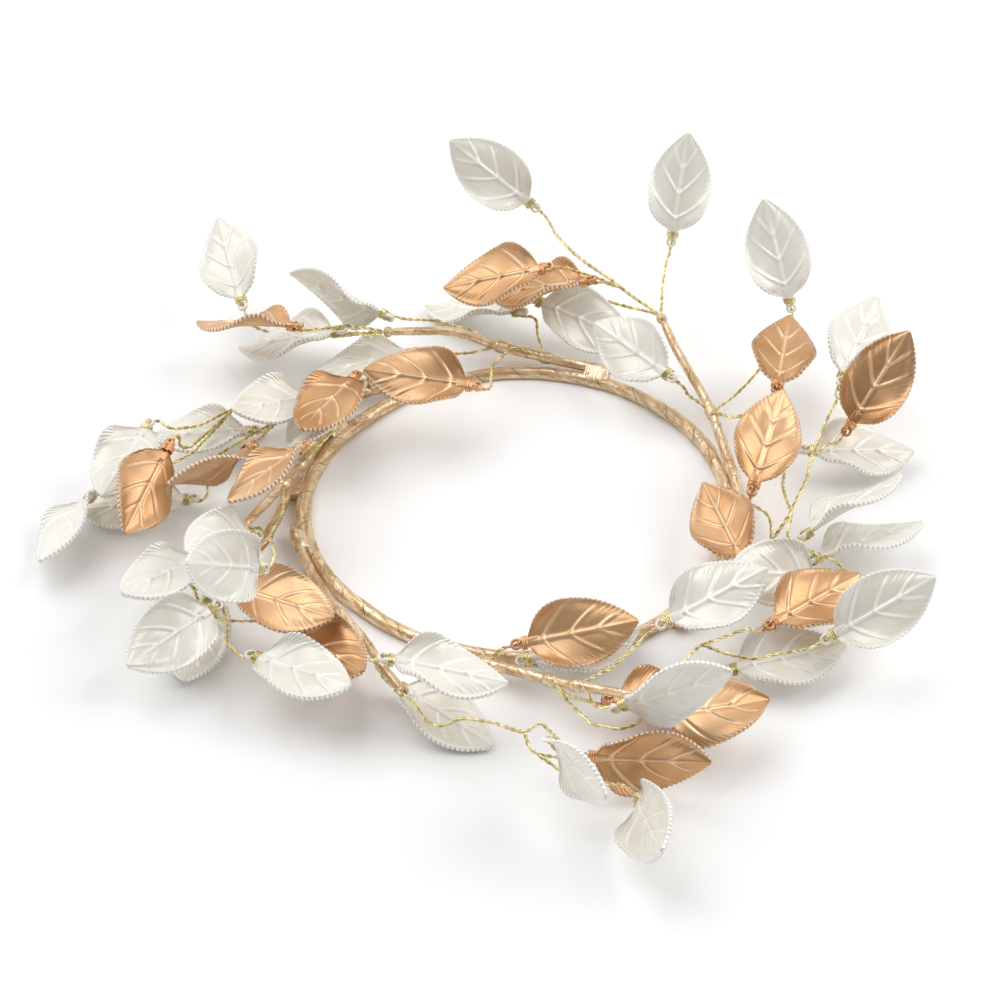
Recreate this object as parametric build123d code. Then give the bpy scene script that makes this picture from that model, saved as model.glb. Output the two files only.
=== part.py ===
from build123d import *
import math
import os
from collections import namedtuple

# The ring, mm
ring_radius = 53.0
core_wire_diameter = 1.8
ring_tape_diameter = 3.4
ring_flat_depth = 0.5

ring_height = ring_tape_diameter / 2 - ring_flat_depth

# A stem of a spray, mm
stem_wire_diameter = 1.2
stem_tape_diameter = 2.7
stem_gap = 0.35
stem_stand = 0.35
end_wall = 1.2

# The bands and knots of tape, mm
band_length = 3.0
band_wall = 0.5
band_fit = 0.15
band_slack = 0.35
knot_diameter = 4.2
knot_length = 2.2
knot_fit = 0.12

# A leaf, mm
leaf_length = 26.0
leaf_width = 16.4
leaf_thickness = 1.0
neck_width = 2.4
stub_thickness = 1.2
eye_reach = 2.9
eye_diameter = 2.8
eye_hole_diameter = 1.3
neck_root = 2.0
margin_lift = 3.6

# The wire at a leaf, mm
twig_diameter = 1.05
binding_wall = 0.5
binding_length = 1.3
fit_gap = 0.05
straight_length = 2.2
pin_diameter = 0.9
pin_stand = 0.3
twig_bend_radius = 1.6

# How far a cutting shape runs past what it cuts, mm
overrun = 1.0

# How the picture was taken: the ring's middle and right hand side in it, and the angle looked down at
picture_middle_pixel = (500.0, 500.0)
ring_middle_pixel = (514.0, 511.0)
ring_side_pixel = (729.5, 511.0)
view_elevation = 42.0
view_distance_share = 15.0

view_distance = view_distance_share * ring_radius
pixels_per_length = (ring_side_pixel[0] - ring_middle_pixel[0]) / ring_radius
focal_pixels = pixels_per_length * view_distance
view_forward = Vector(0, math.cos(math.radians(view_elevation)), -math.sin(math.radians(view_elevation)))
view_right = Vector(1, 0, 0)
view_up = view_right.cross(view_forward)
view_tilt = math.sin(math.radians(view_elevation))
view_target = Vector(
    (picture_middle_pixel[0] - ring_middle_pixel[0]) / pixels_per_length,
    (ring_middle_pixel[1] - picture_middle_pixel[1]) / pixels_per_length / view_tilt,
    0,
)
view_eye = view_target - view_forward * view_distance


def sight_line(pixel):
    """The direction from the eye through a point of the picture."""
    across = view_right * (pixel[0] - picture_middle_pixel[0])
    down = view_up * (pixel[1] - picture_middle_pixel[1])
    return (view_forward * focal_pixels + across - down).normalized()


def place(pixel, height):
    """The place at a height above the table that shows at a point of the picture."""
    line = sight_line(pixel)
    return view_eye + line * ((height - view_eye.Z) / line.Z)


# Leaves: where the neck and the tip show, the neck's height as a share of the ring's radius,
# whether the tip leans away from the eye (1) or towards it (-1), and the roll about the midrib
Leaf = namedtuple("Leaf", "name neck_pixel tip_pixel height_share lean roll")

# A spray: its stem's points from the ring's wrap to the hinge, then from the hinge to its end,
# each a point of the picture with a height share; its twigs, and its leaves
Spray = namedtuple("Spray", "root_pixel_shares stem_pixel_shares twigs ivory copper")

sprays = {}

sprays["back_left"] = Spray(
    root_pixel_shares=[((610, 377), 0.045), ((585, 367), 0.055)],
    stem_pixel_shares=[
        ((560, 361), 0.065),
        ((545, 357), 0.08),
        ((500, 347), 0.12),
        ((455, 330), 0.2),
        ((384.6, 332), 0.26),
    ],
    twigs=[
        ("U1", [(384.6, 332), (335, 336, 0.16), (277, 334, 0.08), (254, 328, 0.1)]),
        ("U2", [(384.6, 332), (345, 325)]),
        ("U3", [(384.6, 332), (368, 338)]),
        ("U4", [(500, 347), (473.6, 332), (439, 320.5)]),
        ("U6", [(545, 357), (537, 333)]),
        ("L18", [(500, 347), (471.7, 353), (440, 354)]),
        ("L17", [(545, 357), (512, 347), (492, 366)]),
    ],
    ivory=[
        Leaf("U1", (240, 297), (218, 218), 0.28, 1, -12),
        Leaf("U3", (332, 332), (238, 348.5), 0.24, 1, 58),
        Leaf("U4", (379, 313), (289, 272.7), 0.3, 1, -62),
        Leaf("U6", (513, 311), (424, 306), 0.15, 1, 62),
        Leaf("L18", (405.7, 353), (312, 375), 0.1, -1, 60),
    ],
    copper=[
        Leaf("U2", (288, 325), (196, 322), 0.38, 1, 80),
        Leaf("L17", (466, 384.6), (361.7, 369.3), 0.31, 1, 30),
    ],
)

sprays["back_right"] = Spray(
    root_pixel_shares=[((736, 530), 0.045), ((740, 505), 0.06)],
    stem_pixel_shares=[
        ((735, 478), 0.075),
        ((725, 450), 0.09),
        ((712, 412), 0.14),
        ((700, 390), 0.18),
        ((677, 351), 0.26),
        ((660.5, 316), 0.32),
    ],
    twigs=[
        ("C6", [(660.5, 316), (662.5, 285), (665, 268)]),
        ("C5", [(660.5, 316), (621, 287.5), (573.5, 253), (556, 235)]),
        ("C1", [(621, 287.5), (590, 276)]),
        ("C2", [(621, 287.5), (607, 284)]),
        ("C3", [(660.5, 316), (640.5, 309, 0.22), (564, 293, 0.16), (535, 285, 0.17), (517, 287, 0.2)]),
        ("C4", [(712, 412), (686.4, 394.6)]),
        ("R1", [(712, 412), (735, 396, 0.16), (761.6, 367.5, 0.18), (783, 335, 0.22)]),
        ("R2", [(712, 412), (735, 418), (760, 408)]),
    ],
    ivory=[
        Leaf("C5", (527, 201), (449, 140), 0.38, 1, 0),
        Leaf("C6", (673, 231), (689, 129.5), 0.38, 1, 0),
        Leaf("C3", (543, 303), (640, 345), 0.24, 1, -20),
        Leaf("C4", (664.4, 372), (593.6, 322), 0.3, 1, 0),
        Leaf("R1", (788.4, 297), (763.5, 197.4), 0.34, 1, 0),
    ],
    copper=[
        Leaf("C1", (538.5, 269), (443, 288.4), 0.5, 1, 35),
        Leaf("C2", (581, 281), (490, 296), 0.42, 1, 60),
        Leaf("R2", (778, 382), (790, 315), 0.34, 1, 0),
    ],
)

sprays["right"] = Spray(
    root_pixel_shares=[((672, 625), 0.045), ((700, 610), 0.055)],
    stem_pixel_shares=[((722, 594), 0.06), ((748, 572), 0.08), ((771, 543), 0.12)],
    twigs=[
        ("R3", [(771, 543), (771, 515), (754, 505)]),
        ("R5", [(771, 543), (791, 512, 0.22), (806, 480, 0.3), (811, 461, 0.33), (826, 444)]),
        ("R4", [(811, 461), (822, 430), (838, 398)]),
        ("R6", [(791, 512), (782, 485)]),
        ("R7A", [(791, 512), (788, 535)]),
        ("R7B", [(771, 543), (785, 556)]),
        ("R9", [(748, 572), (752, 584)]),
        ("R11", [(771, 543), (804, 548, 0.13), (834, 560, 0.17), (847, 572)]),
    ],
    ivory=[
        Leaf("R4", (844.6, 373), (877, 296.5), 0.34, 1, 0),
        Leaf("R6", (815, 450), (915, 452), 0.15, 1, -40),
        Leaf("R7A", (812, 529.5), (902, 473), 0.2, 1, -75),
        Leaf("R7B", (822, 556), (924, 521), 0.1, 1, -66),
        Leaf("R11", (812, 575), (728, 572), 0.12, -1, 12),
    ],
    copper=[
        Leaf("R3", (755, 481), (783, 388.5), 0.3, 1, 0),
        Leaf("R5", (852.7, 421), (911.6, 328), 0.36, 1, 0),
        Leaf("R9", (740, 555), (703, 482.5), 0.24, 1, 0),
    ],
)

sprays["front_right"] = Spray(
    root_pixel_shares=[((425, 646), 0.045), ((450, 655), 0.05)],
    stem_pixel_shares=[
        ((470, 660), 0.055),
        ((487, 664), 0.07),
        ((520.5, 672), 0.11),
        ((551, 681), 0.14),
        ((577, 686), 0.18),
        ((642, 696), 0.26),
    ],
    twigs=[
        ("R12", [(642, 696), (676, 671), (692, 653), (702, 645), (728, 635), (750, 628)]),
        ("R13", [(702, 645), (724, 653), (754, 659), (804, 650)]),
        ("R14", [(676, 671), (705, 675)]),
        ("R15", [(551, 681), (566, 694), (590, 702)]),
        ("R16", [(551, 681), (564, 697), (592, 725), (620, 729), (640, 722)]),
        ("R17", [(577, 686), (590, 692)]),
        ("R24", [(487, 664), (495, 655)]),
        ("R25", [(487, 664), (500, 662)]),
        ("R10", [(577, 686), (612, 668), (640, 642)]),
    ],
    ivory=[
        Leaf("R10", (671.5, 619), (768.5, 567.6), 0.26, 1, -15),
        Leaf("R13", (837, 633), (938, 575.5), 0.3, 1, 0),
        Leaf("R14", (738, 667.5), (848, 645), 0.09, 1, -32),
        Leaf("R15", (627, 705), (733, 671), 0.4, -1, 50),
        Leaf("R25", (533, 658), (640, 629), 0.09, 1, -30),
    ],
    copper=[
        Leaf("R12", (778, 620), (861, 574), 0.26, 1, -20),
        Leaf("R16", (664, 717), (770, 700), 0.28, 1, 150),
        Leaf("R17", (619, 700), (728, 700), 0.13, 1, -43),
        Leaf("R24", (528.5, 642), (643.5, 620), 0.2, 1, -10),
    ],
)

sprays["front"] = Spray(
    root_pixel_shares=[((297, 528), 0.045), ((303, 556), 0.055)],
    stem_pixel_shares=[
        ((316, 583), 0.06),
        ((338, 610), 0.1),
        ((365, 641), 0.14),
        ((382, 667), 0.16),
        ((404.4, 692.8), 0.19),
    ],
    twigs=[
        ("R19", [(404.4, 692.8), (427, 721), (442, 727), (460, 719), (494, 722), (525, 734), (541, 722)]),
        ("R18", [(525, 734), (529.5, 748), (538, 755), (560, 758)]),
        ("R20", [(538, 755), (565, 775), (592, 784), (618, 784)]),
        ("R21", [(382, 667)]),
        ("R22", [(382, 667)]),
    ],
    ivory=[
        Leaf("R19", (556.6, 746), (606.5, 798), 0.36, -1, 72),
        Leaf("R20", (639, 803.5), (662, 850.5), 0.16, -1, 40),
        Leaf("R21", (395.5, 660), (510.5, 683.8), 0.36, -1, -45),
        Leaf("R22", (404, 689), (493, 747), 0.08, -1, -38),
    ],
    copper=[
        Leaf("R18", (595, 758), (714, 762), 0.19, 1, 35),
    ],
)

sprays["front_left"] = Spray(
    root_pixel_shares=[((288, 482), 0.03), ((286.5, 491), 0.035)],
    stem_pixel_shares=[((285.5, 499), 0.05), ((262, 548), 0.08), ((225, 575), 0.1), ((192, 586), 0.13)],
    twigs=[
        ("L5", [(192, 586), (215, 586)]),
        ("L6", [(192, 586), (207, 588)]),
        ("L7", [(192, 586), (206, 570)]),
        ("L1", [(192, 586), (204, 612, 0.15), (226.5, 621, 0.155), (255, 621), (272, 622)]),
        ("L2", [(226.5, 621), (226.5, 641)]),
        ("L4", [(226.5, 621), (222, 600)]),
    ],
    ivory=[
        Leaf("L2", (260, 658), (351, 687), 0.2, -1, -40),
        Leaf("L5", (208.6, 611), (127, 666.7), 0.23, -1, 10),
        Leaf("L6", (206, 606), (184.6, 681), 0.05, -1, 20),
        Leaf("L7", (197, 560), (121.4, 594), 0.18, -1, 50),
    ],
    copper=[
        Leaf("L1", (296, 632), (363, 672), 0.14, -1, -20),
        Leaf("L4", (243, 590), (334, 618), 0.25, -1, -30),
    ],
)

sprays["left"] = Spray(
    root_pixel_shares=[((348, 418), 0.045), ((324, 441), 0.06)],
    stem_pixel_shares=[((303, 462), 0.09), ((284, 484), 0.14), ((240.8, 529), 0.2)],
    twigs=[
        ("L8a", [(240.8, 529), (262, 528)]),
        ("L8b", [(284, 484), (283.7, 510.6, 0.26), (269, 537, 0.38), (276, 553, 0.46)]),
        ("L19", [(303, 462), (336, 428, 0.14), (352, 400, 0.11)]),
        ("L20", [(303, 462), (316, 446)]),
    ],
    ivory=[
        Leaf("L8a", (251, 537), (186, 552), 0.24, -1, 20),
        Leaf("L8b", (257, 568), (186, 563), 0.54, -1, 0),
        Leaf("L19", (332, 409.5), (297, 443.5), 0.12, -1, 70),
    ],
    copper=[
        Leaf("L20", (297.3, 450), (228, 502), 0.42, -1, 68),
    ],
)

sprays["upper_left"] = Spray(
    root_pixel_shares=[((440, 374), 0.045), ((405, 382), 0.06)],
    stem_pixel_shares=[((370, 391), 0.08), ((311, 397), 0.12), ((234.4, 409), 0.17)],
    twigs=[
        ("L11", [(234.4, 409), (200, 425), (170, 430)]),
        ("L10", [(234.4, 409), (191, 447), (180, 448)]),
        ("L12", [(234.4, 409), (190, 455, 0.2), (150, 475, 0.18), (115, 492, 0.15)]),
        ("L13", [(311, 397), (288, 415), (246, 438, 0.16), (204, 463, 0.14)]),
        ("L14", [(311, 397), (270, 418)]),
        ("L15", [(311, 397), (322, 392)]),
        ("L16", [(370, 391), (368, 376)]),
        ("L21", [(288, 415), (268, 430)]),
    ],
    ivory=[
        Leaf("L11", (144.5, 430), (102, 497), 0.25, -1, 30),
        Leaf("L12", (87, 499.5), (39, 561.5), 0.14, -1, 70),
        Leaf("L13", (182.5, 499), (75.5, 511), 0.06, -1, 48),
        Leaf("L14", (245, 430), (151, 438), 0.07, -1, 56),
        Leaf("L15", (306, 397), (234, 411), 0.2, -1, 51),
    ],
    copper=[
        Leaf("L10", (165, 452.5), (123.3, 534.3), 0.32, -1, 160),
        Leaf("L16", (351, 380), (301.4, 429.6), 0.32, -1, 40),
        Leaf("L21", (245, 450.5), (166, 486), 0.24, -1, -80),
    ],
)


def leaf_frame(leaf):
    """The leaf's neck, and its directions from neck to tip, to the side and out of the front."""
    neck = place(leaf.neck_pixel, leaf.height_share * ring_radius)
    line = sight_line(leaf.tip_pixel)
    back = view_eye - neck
    along = -line.dot(back)
    spare = along * along - (back.dot(back) - leaf_length * leaf_length)
    reach = along + leaf.lean * math.sqrt(max(spare, 0))
    axis = (view_eye + line * reach - neck).normalized()
    facing = (view_eye - neck).normalized()
    facing = (facing - axis * facing.dot(axis)).normalized()
    beside = axis.cross(facing)
    turn = math.radians(leaf.roll)
    normal = facing * math.cos(turn) + beside * math.sin(turn)
    return neck, axis, normal.cross(axis), normal


def leaf_place(frame, along, across, out):
    """A place given along, across and out of a leaf."""
    neck, axis, side, normal = frame
    return neck + axis * along + side * across + normal * out


def twig_offset():
    """How far behind a leaf's middle the wire lies along its stub."""
    return stub_thickness / 2 + 2 * fit_gap + twig_diameter / 2


def spray_leaves(spray):
    return {leaf.name: leaf for leaf in spray.ivory + spray.copper}


def twig_routes(spray):
    """The points of each twig, from the stem or an earlier twig to the end of its run at the leaf.

    A point has its own height share, or lies between the last such point and the leaf's neck."""
    known = {pixel: place(pixel, share * ring_radius) for pixel, share in spray.stem_pixel_shares}
    routes = {}
    for name, points in spray.twigs:
        leaf = spray_leaves(spray)[name]
        frame = leaf_frame(leaf)
        pixels = [point[:2] for point in points] + [leaf.neck_pixel]
        steps = [math.dist(a, b) for a, b in zip(pixels, pixels[1:])]
        route = [known[pixels[0]]]
        for index, point in enumerate(points[1:], 1):
            left = sum(steps[index - 1:])
            end_height = leaf.height_share * ring_radius
            height = route[-1].Z + (end_height - route[-1].Z) * steps[index - 1] / left
            if len(point) == 3:
                height = point[2] * ring_radius
            if pixels[index] not in known:
                known[pixels[index]] = place(pixels[index], height)
            route.append(known[pixels[index]])
        back = -(eye_reach + eye_diameter / 2 + straight_length)
        route.append(leaf_place(frame, back, 0, -twig_offset()))
        route.append(leaf_place(frame, 0, 0, -twig_offset()))
        routes[name] = route
    return routes


# The solids

# The mould of a leaf's blade: along it, half its width and how far its margins are raised,
# as shares of its length, of half its width and of the raised margins
blade_station_shares = [
    (0.0, 0.14, 0.03),
    (0.08, 0.52, 0.42),
    (0.2, 0.84, 1.0),
    (0.32, 0.97, 0.8),
    (0.46, 1.0, 0.25),
    (0.64, 0.84, -0.14),
    (0.82, 0.52, -0.28),
    (0.95, 0.2, -0.14),
    (1.0, 0.07, -0.06),
]

# The ring's corners, as shares of its radius, at equal turns from the right hand side:
# a bending by hand leaves it a little flat at the upper and lower left
ring_corner_shares = [1.035, 1.03, 1.025, 1.005, 0.975, 0.98, 1.025, 0.99, 0.985, 1.02, 1.03, 1.035]
ring_bend_share = 0.85

# The most of a run that the arc at a corner takes up, the turn below which a wire counts as straight,
# and how finely a path is searched
corner_run_share = 0.45
straight_turn = math.radians(2)
search_steps = 960


def turn_between(before, corner, after):
    return math.radians((corner - before).get_angle(after - corner))


def corner_radius(before, corner, after):
    """The largest arc that a corner's two runs allow."""
    run = min((corner - before).length, (after - corner).length)
    return corner_run_share * run / math.tan(turn_between(before, corner, after) / 2)


def bent_path(points, radii):
    if len(points) == 2:
        return Line(points[0], points[1])
    return FilletPolyline(*points, radius=radii)


def bend_radii(points):
    return [corner_radius(*points[i - 1:i + 2]) for i in range(1, len(points) - 1)]


def swept(path, section):
    return sweep(Plane(origin=path @ 0, z_dir=path % 0) * section, path=path)


def twig_rods(points):
    """A twig's round bars: straight runs joined by arcs, or by a ball where a bend is too tight for one."""
    kept = [points[0]]
    for index in range(1, len(points) - 1):
        if turn_between(kept[-1], points[index], points[index + 1]) > straight_turn:
            kept.append(points[index])
    kept.append(points[-1])
    radii = [min(radius, twig_bend_radius) for radius in bend_radii(kept)]
    spans = [([kept[0]], [])]
    for corner, radius in zip(kept[1:-1], radii):
        spans[-1][0].append(corner)
        if radius < twig_diameter / 2 + fit_gap:
            spans.append(([corner], []))
        else:
            spans[-1][1].append(radius)
    spans[-1][0].append(kept[-1])
    rods = [swept(bent_path(*span), Circle(twig_diameter / 2)) for span in spans]
    balls = [Pos(*span[0][0]) * Sphere(twig_diameter / 2 + fit_gap) for span in spans[1:]]
    return rods + balls


def fused(pieces):
    if len(pieces) == 1:
        return pieces[0]
    return pieces[0].fuse(*pieces[1:])


def blade_section(along_share, width_share, lift_share):
    """The blade's section at one station: a bowed strip."""
    half_width = leaf_width / 2 * width_share
    lift = margin_lift * lift_share
    half_wall = leaf_thickness / 2
    plane = Plane(origin=(leaf_length * along_share, 0, 0), x_dir=(0, 1, 0), z_dir=(1, 0, 0))
    top = ThreePointArc((-half_width, lift + half_wall), (0, half_wall), (half_width, lift + half_wall))
    bottom = ThreePointArc((half_width, lift - half_wall), (0, -half_wall), (-half_width, lift - half_wall))
    edges = [top, Line(top @ 1, bottom @ 0), bottom, Line(bottom @ 1, top @ 0)]
    return plane * make_face(edges)


def leaf_solid():
    """One leaf of the mould: the blade, and the stub with its eye behind the neck."""
    blade = loft([blade_section(*station) for station in blade_station_shares])
    bar_length = eye_reach + neck_root
    bar = Pos(bar_length / 2 - eye_reach, 0, 0) * Box(bar_length, neck_width, stub_thickness)
    eye = Pos(-eye_reach, 0, 0) * Cylinder(eye_diameter / 2, stub_thickness)
    hole = Pos(-eye_reach, 0, 0) * Cylinder(eye_hole_diameter / 2, stub_thickness + overrun)
    return blade.fuse(bar, eye) - hole


def leaf_plane(leaf):
    neck, axis, side, normal = leaf_frame(leaf)
    return Plane(origin=neck, x_dir=axis, z_dir=normal)


def leaf_ties():
    """What holds a leaf, fused to its twig: the winding round the neck and the wire through the eye."""
    inside_width = neck_width + 2 * fit_gap
    inside_height = stub_thickness + 2 * fit_gap
    outside = Box(binding_length, inside_width + 2 * binding_wall, inside_height + 2 * binding_wall)
    inside = Box(binding_length + overrun, inside_width, inside_height)
    binding = Pos(-binding_length / 2 - fit_gap, 0, 0) * (outside - inside)
    pin_length = twig_offset() + stub_thickness / 2 + pin_stand
    pin = Pos(-eye_reach, 0, pin_length / 2 - twig_offset()) * Cylinder(pin_diameter / 2, pin_length)
    return binding, pin


def stem_points(spray):
    return [place(pixel, share * ring_radius) for pixel, share in spray.stem_pixel_shares]


def hinge(spray):
    """The place and direction of a spray's hinge: level, across its stem; a positive turn lifts."""
    first, second = stem_points(spray)[:2]
    return first, (second - first).cross(Vector(0, 0, 1)).normalized()


def stem_course(spray):
    """The stem's points from just past the hinge to its end."""
    points = stem_points(spray)
    return [points[0] + (points[1] - points[0]).normalized() * stem_gap] + points[1:]


def nearest_share(path, point):
    shares = [step / search_steps for step in range(search_steps + 1)]
    return min(shares, key=lambda share: (path @ share - point).length)


def ring_path():
    corners = []
    for index, share in enumerate(ring_corner_shares):
        angle = 2 * math.pi * index / len(ring_corner_shares)
        reach = ring_radius * share
        corners.append((reach * math.cos(angle), reach * math.sin(angle), ring_height))
    return FilletPolyline(*corners, radius=ring_radius * ring_bend_share, close=True)


def root_course(spray, path):
    """A stem's points beside the ring, where it is bound on, to just short of the hinge."""
    course = []
    stand = ring_tape_diameter / 2 + stem_tape_diameter / 2 + stem_stand
    for pixel, share in spray.root_pixel_shares:
        point = place(pixel, share * ring_radius)
        beside = path @ nearest_share(path, point)
        away = point - beside
        course.append(beside + away.normalized() * max(away.length, stand))
    pivot = stem_points(spray)[0]
    return course + [pivot + (course[-1] - pivot).normalized() * stem_gap]


def root_binding(course, path):
    """The band of tape round the ring and a stem, cut off level underneath."""
    middle = (course[0] + course[1]) * 0.5
    share = nearest_share(path, middle)
    beside = path @ share
    along = path % share
    away = middle - beside
    away = away - along * away.dot(along)
    hold = ring_tape_diameter / 2 + band_fit
    spacing = away.length - hold + stem_tape_diameter / 2 + band_slack
    plane = Plane(origin=beside + away.normalized() * (spacing / 2), x_dir=away, z_dir=along)
    band = SlotCenterToCenter(spacing, 2 * (hold + band_wall)) - SlotCenterToCenter(spacing, 2 * hold)
    return extrude(plane * band, band_length / 2, both=True) - under_table()


def under_table():
    size = 4 * ring_radius
    return Pos(0, 0, -size / 2) * Box(size, size, size)


def ring_solids():
    """The ring's wire, its wrap with a flat underside, and the stems' ends that are bound to it."""
    path = ring_path()
    wrap = Circle(ring_tape_diameter / 2) - Circle(core_wire_diameter / 2 + fit_gap)
    below = Pos(0, -ring_height - ring_radius / 2) * Rectangle(ring_radius, ring_radius)
    section_plane = Plane(origin=path @ 0, x_dir=Vector(0, 0, 1).cross(path % 0), z_dir=path % 0)
    core = sweep(section_plane * Circle(core_wire_diameter / 2), path=path)
    tape = sweep(section_plane * (wrap - below), path=path)
    tapes, wires, bands = [], [], []
    for spray in sprays.values():
        course = root_course(spray, path)
        stem = bent_path(course, bend_radii(course))
        tapes.append(swept(stem, Circle(stem_tape_diameter / 2) - Circle(stem_wire_diameter / 2 + fit_gap)))
        wires.append(swept(stem, Circle(stem_wire_diameter / 2)))
        bands.append(root_binding(course, path))
    return {
        "ring_core_wire": core,
        "ring_tape": tape,
        "bound_stem_tapes": Compound(children=tapes),
        "bound_stem_wires": Compound(children=wires),
        "tape_bindings": Compound(children=bands),
    }


def knotted_twigs(spray):
    """The twigs of a spray with what ties their leaves, from knots that fit round the stem's wrap."""
    course = stem_course(spray)
    radii = bend_radii(course)
    stem = bent_path(course, radii)
    first_share = knot_length / stem.length
    ties = leaf_ties()
    leaves = spray_leaves(spray)
    starts = {tuple(point) for point in stem_points(spray)}
    pieces, knots = [], {}
    for name, route in twig_routes(spray).items():
        if tuple(route[0]) in starts:
            share = max(nearest_share(stem, route[0]), first_share)
            along = stem % share
            heading = (route[1] - stem @ share).normalized()
            sideways = heading - along * heading.dot(along)
            knots[share] = Plane(origin=stem @ share, z_dir=along) * Cylinder(knot_diameter / 2, knot_length)
            if share < 1 or heading.dot(along) < sideways.length:
                start = stem @ share + sideways.normalized() * ((knot_diameter + stem_tape_diameter) / 4)
            else:
                start = stem @ share + along * (knot_length / 4)
            route = [start] + route[1:]
        pieces += twig_rods(route)
        pieces += [leaf_plane(leaves[name]) * tie for tie in ties]
    room_end = course[-1] + (course[-1] - course[-2]).normalized() * fit_gap
    room = swept(bent_path(course[:-1] + [room_end], radii), Circle(stem_tape_diameter / 2 + knot_fit))
    return fused(list(knots.values()) + pieces) - room


def spray_solids(spray):
    """The stem's wire and wrap, the twigs with what ties the leaves, and the leaves of each finish."""
    course = stem_course(spray)
    radii = bend_radii(course)
    wire_end = course[-1] + (course[-2] - course[-1]).normalized() * end_wall
    tape_section = Circle(stem_tape_diameter / 2) - Circle(stem_wire_diameter / 2 + fit_gap)
    shape = leaf_solid()
    return {
        "stem_wire": swept(bent_path(course[:-1] + [wire_end], radii), Circle(stem_wire_diameter / 2)),
        "stem_tape": swept(bent_path(course, radii), tape_section),
        "twigs": knotted_twigs(spray),
        "ivory_leaves": Compound(children=[leaf_plane(leaf) * shape for leaf in spray.ivory]),
        "copper_leaves": Compound(children=[leaf_plane(leaf) * shape for leaf in spray.copper]),
    }


def write(name, shape):
    export_step(shape, os.path.join("parts", name + ".step"))


os.makedirs("parts", exist_ok=True)
for name, shape in ring_solids().items():
    write(name, shape)
for spray_name, spray in sprays.items():
    for name, shape in spray_solids(spray).items():
        write(spray_name + "_" + name, shape)
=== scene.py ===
import math
from collections import namedtuple

import bpy
import numpy as np
from mathutils import Matrix, Vector


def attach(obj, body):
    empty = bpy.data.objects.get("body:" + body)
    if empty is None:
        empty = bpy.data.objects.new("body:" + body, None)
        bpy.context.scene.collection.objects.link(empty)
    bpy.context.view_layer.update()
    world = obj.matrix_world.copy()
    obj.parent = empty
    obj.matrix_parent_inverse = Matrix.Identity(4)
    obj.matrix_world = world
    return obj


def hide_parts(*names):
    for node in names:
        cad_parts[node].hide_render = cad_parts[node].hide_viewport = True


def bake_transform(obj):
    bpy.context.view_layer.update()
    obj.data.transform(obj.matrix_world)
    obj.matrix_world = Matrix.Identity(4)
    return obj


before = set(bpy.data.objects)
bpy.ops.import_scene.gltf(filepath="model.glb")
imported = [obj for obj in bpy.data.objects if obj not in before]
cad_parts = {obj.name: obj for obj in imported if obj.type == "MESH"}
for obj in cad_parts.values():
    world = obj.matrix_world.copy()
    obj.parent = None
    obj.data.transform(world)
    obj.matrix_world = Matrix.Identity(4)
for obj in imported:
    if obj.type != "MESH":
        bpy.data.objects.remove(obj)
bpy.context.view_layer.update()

# Sizes of the real pieces, mm
millimetre = 0.001
ring_radius = 53.0
ring_tape_radius = 1.7
ring_height = 1.2
stem_tape_radius = 1.35
stem_stand = 0.35
leaf_length = 26.0
leaf_width = 16.4
neck_width = 2.4
stub_thickness = 1.2
eye_reach = 2.9
eye_diameter = 2.8
eye_hole_diameter = 1.3
margin_lift = 3.6
twig_diameter = 1.05
fit_gap = 0.05
straight_length = 2.2
strand_radius = 0.25
strand_offset = 0.21

# How the picture was taken: the ring's middle and right hand side in it, and the angle looked down at
picture_pixels = 1000.0
picture_middle_pixel = (500.0, 500.0)
ring_middle_pixel = (514.0, 511.0)
ring_side_pixel = (729.5, 511.0)
view_elevation = math.radians(42.0)
view_distance = 15.0 * ring_radius
sensor_width = 36.0

pixels_per_length = (ring_side_pixel[0] - ring_middle_pixel[0]) / ring_radius
focal_pixels = pixels_per_length * view_distance
view_forward = Vector((0, math.cos(view_elevation), -math.sin(view_elevation)))
view_right = Vector((1, 0, 0))
view_up = view_right.cross(view_forward)
view_target = Vector((
    (picture_middle_pixel[0] - ring_middle_pixel[0]) / pixels_per_length,
    (ring_middle_pixel[1] - picture_middle_pixel[1]) / pixels_per_length / math.sin(view_elevation),
    0,
))
view_eye = view_target - view_forward * view_distance


def add_camera():
    """The camera at the picture's viewing angle, with the picture's frame."""
    data = bpy.data.cameras.new("camera")
    data.sensor_width = sensor_width
    data.lens = focal_pixels / picture_pixels * sensor_width
    data.clip_start = 0.05
    data.clip_end = 20.0
    camera = bpy.data.objects.new("camera", data)
    bpy.context.scene.collection.objects.link(camera)
    turn = Matrix((view_right, view_up, -view_forward)).transposed()
    camera.matrix_world = Matrix.Translation(view_eye * millimetre) @ turn.to_4x4()
    bpy.context.scene.camera = camera


add_camera()


def sight_line(pixel):
    """The direction from the eye through a point of the picture."""
    across = view_right * (pixel[0] - picture_middle_pixel[0])
    down = view_up * (pixel[1] - picture_middle_pixel[1])
    return (view_forward * focal_pixels + across - down).normalized()


def place(pixel, height):
    """The place at a height above the table that shows at a point of the picture."""
    line = sight_line(pixel)
    return view_eye + line * ((height - view_eye.z) / line.z)


# Leaves: where the neck and the tip show, the neck's height as a share of the ring's radius,
# whether the tip leans away from the eye (1) or towards it (-1), and the roll about the midrib
Leaf = namedtuple("Leaf", "name neck_pixel tip_pixel height_share lean roll")

# A spray: its stem's points beside the ring's wrap, where it is bound on, then from there to its end,
# each a point of the picture with a height share; its twigs, and its leaves
Spray = namedtuple("Spray", "root_pixel_shares stem_pixel_shares twigs ivory copper")

sprays = {}

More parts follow.
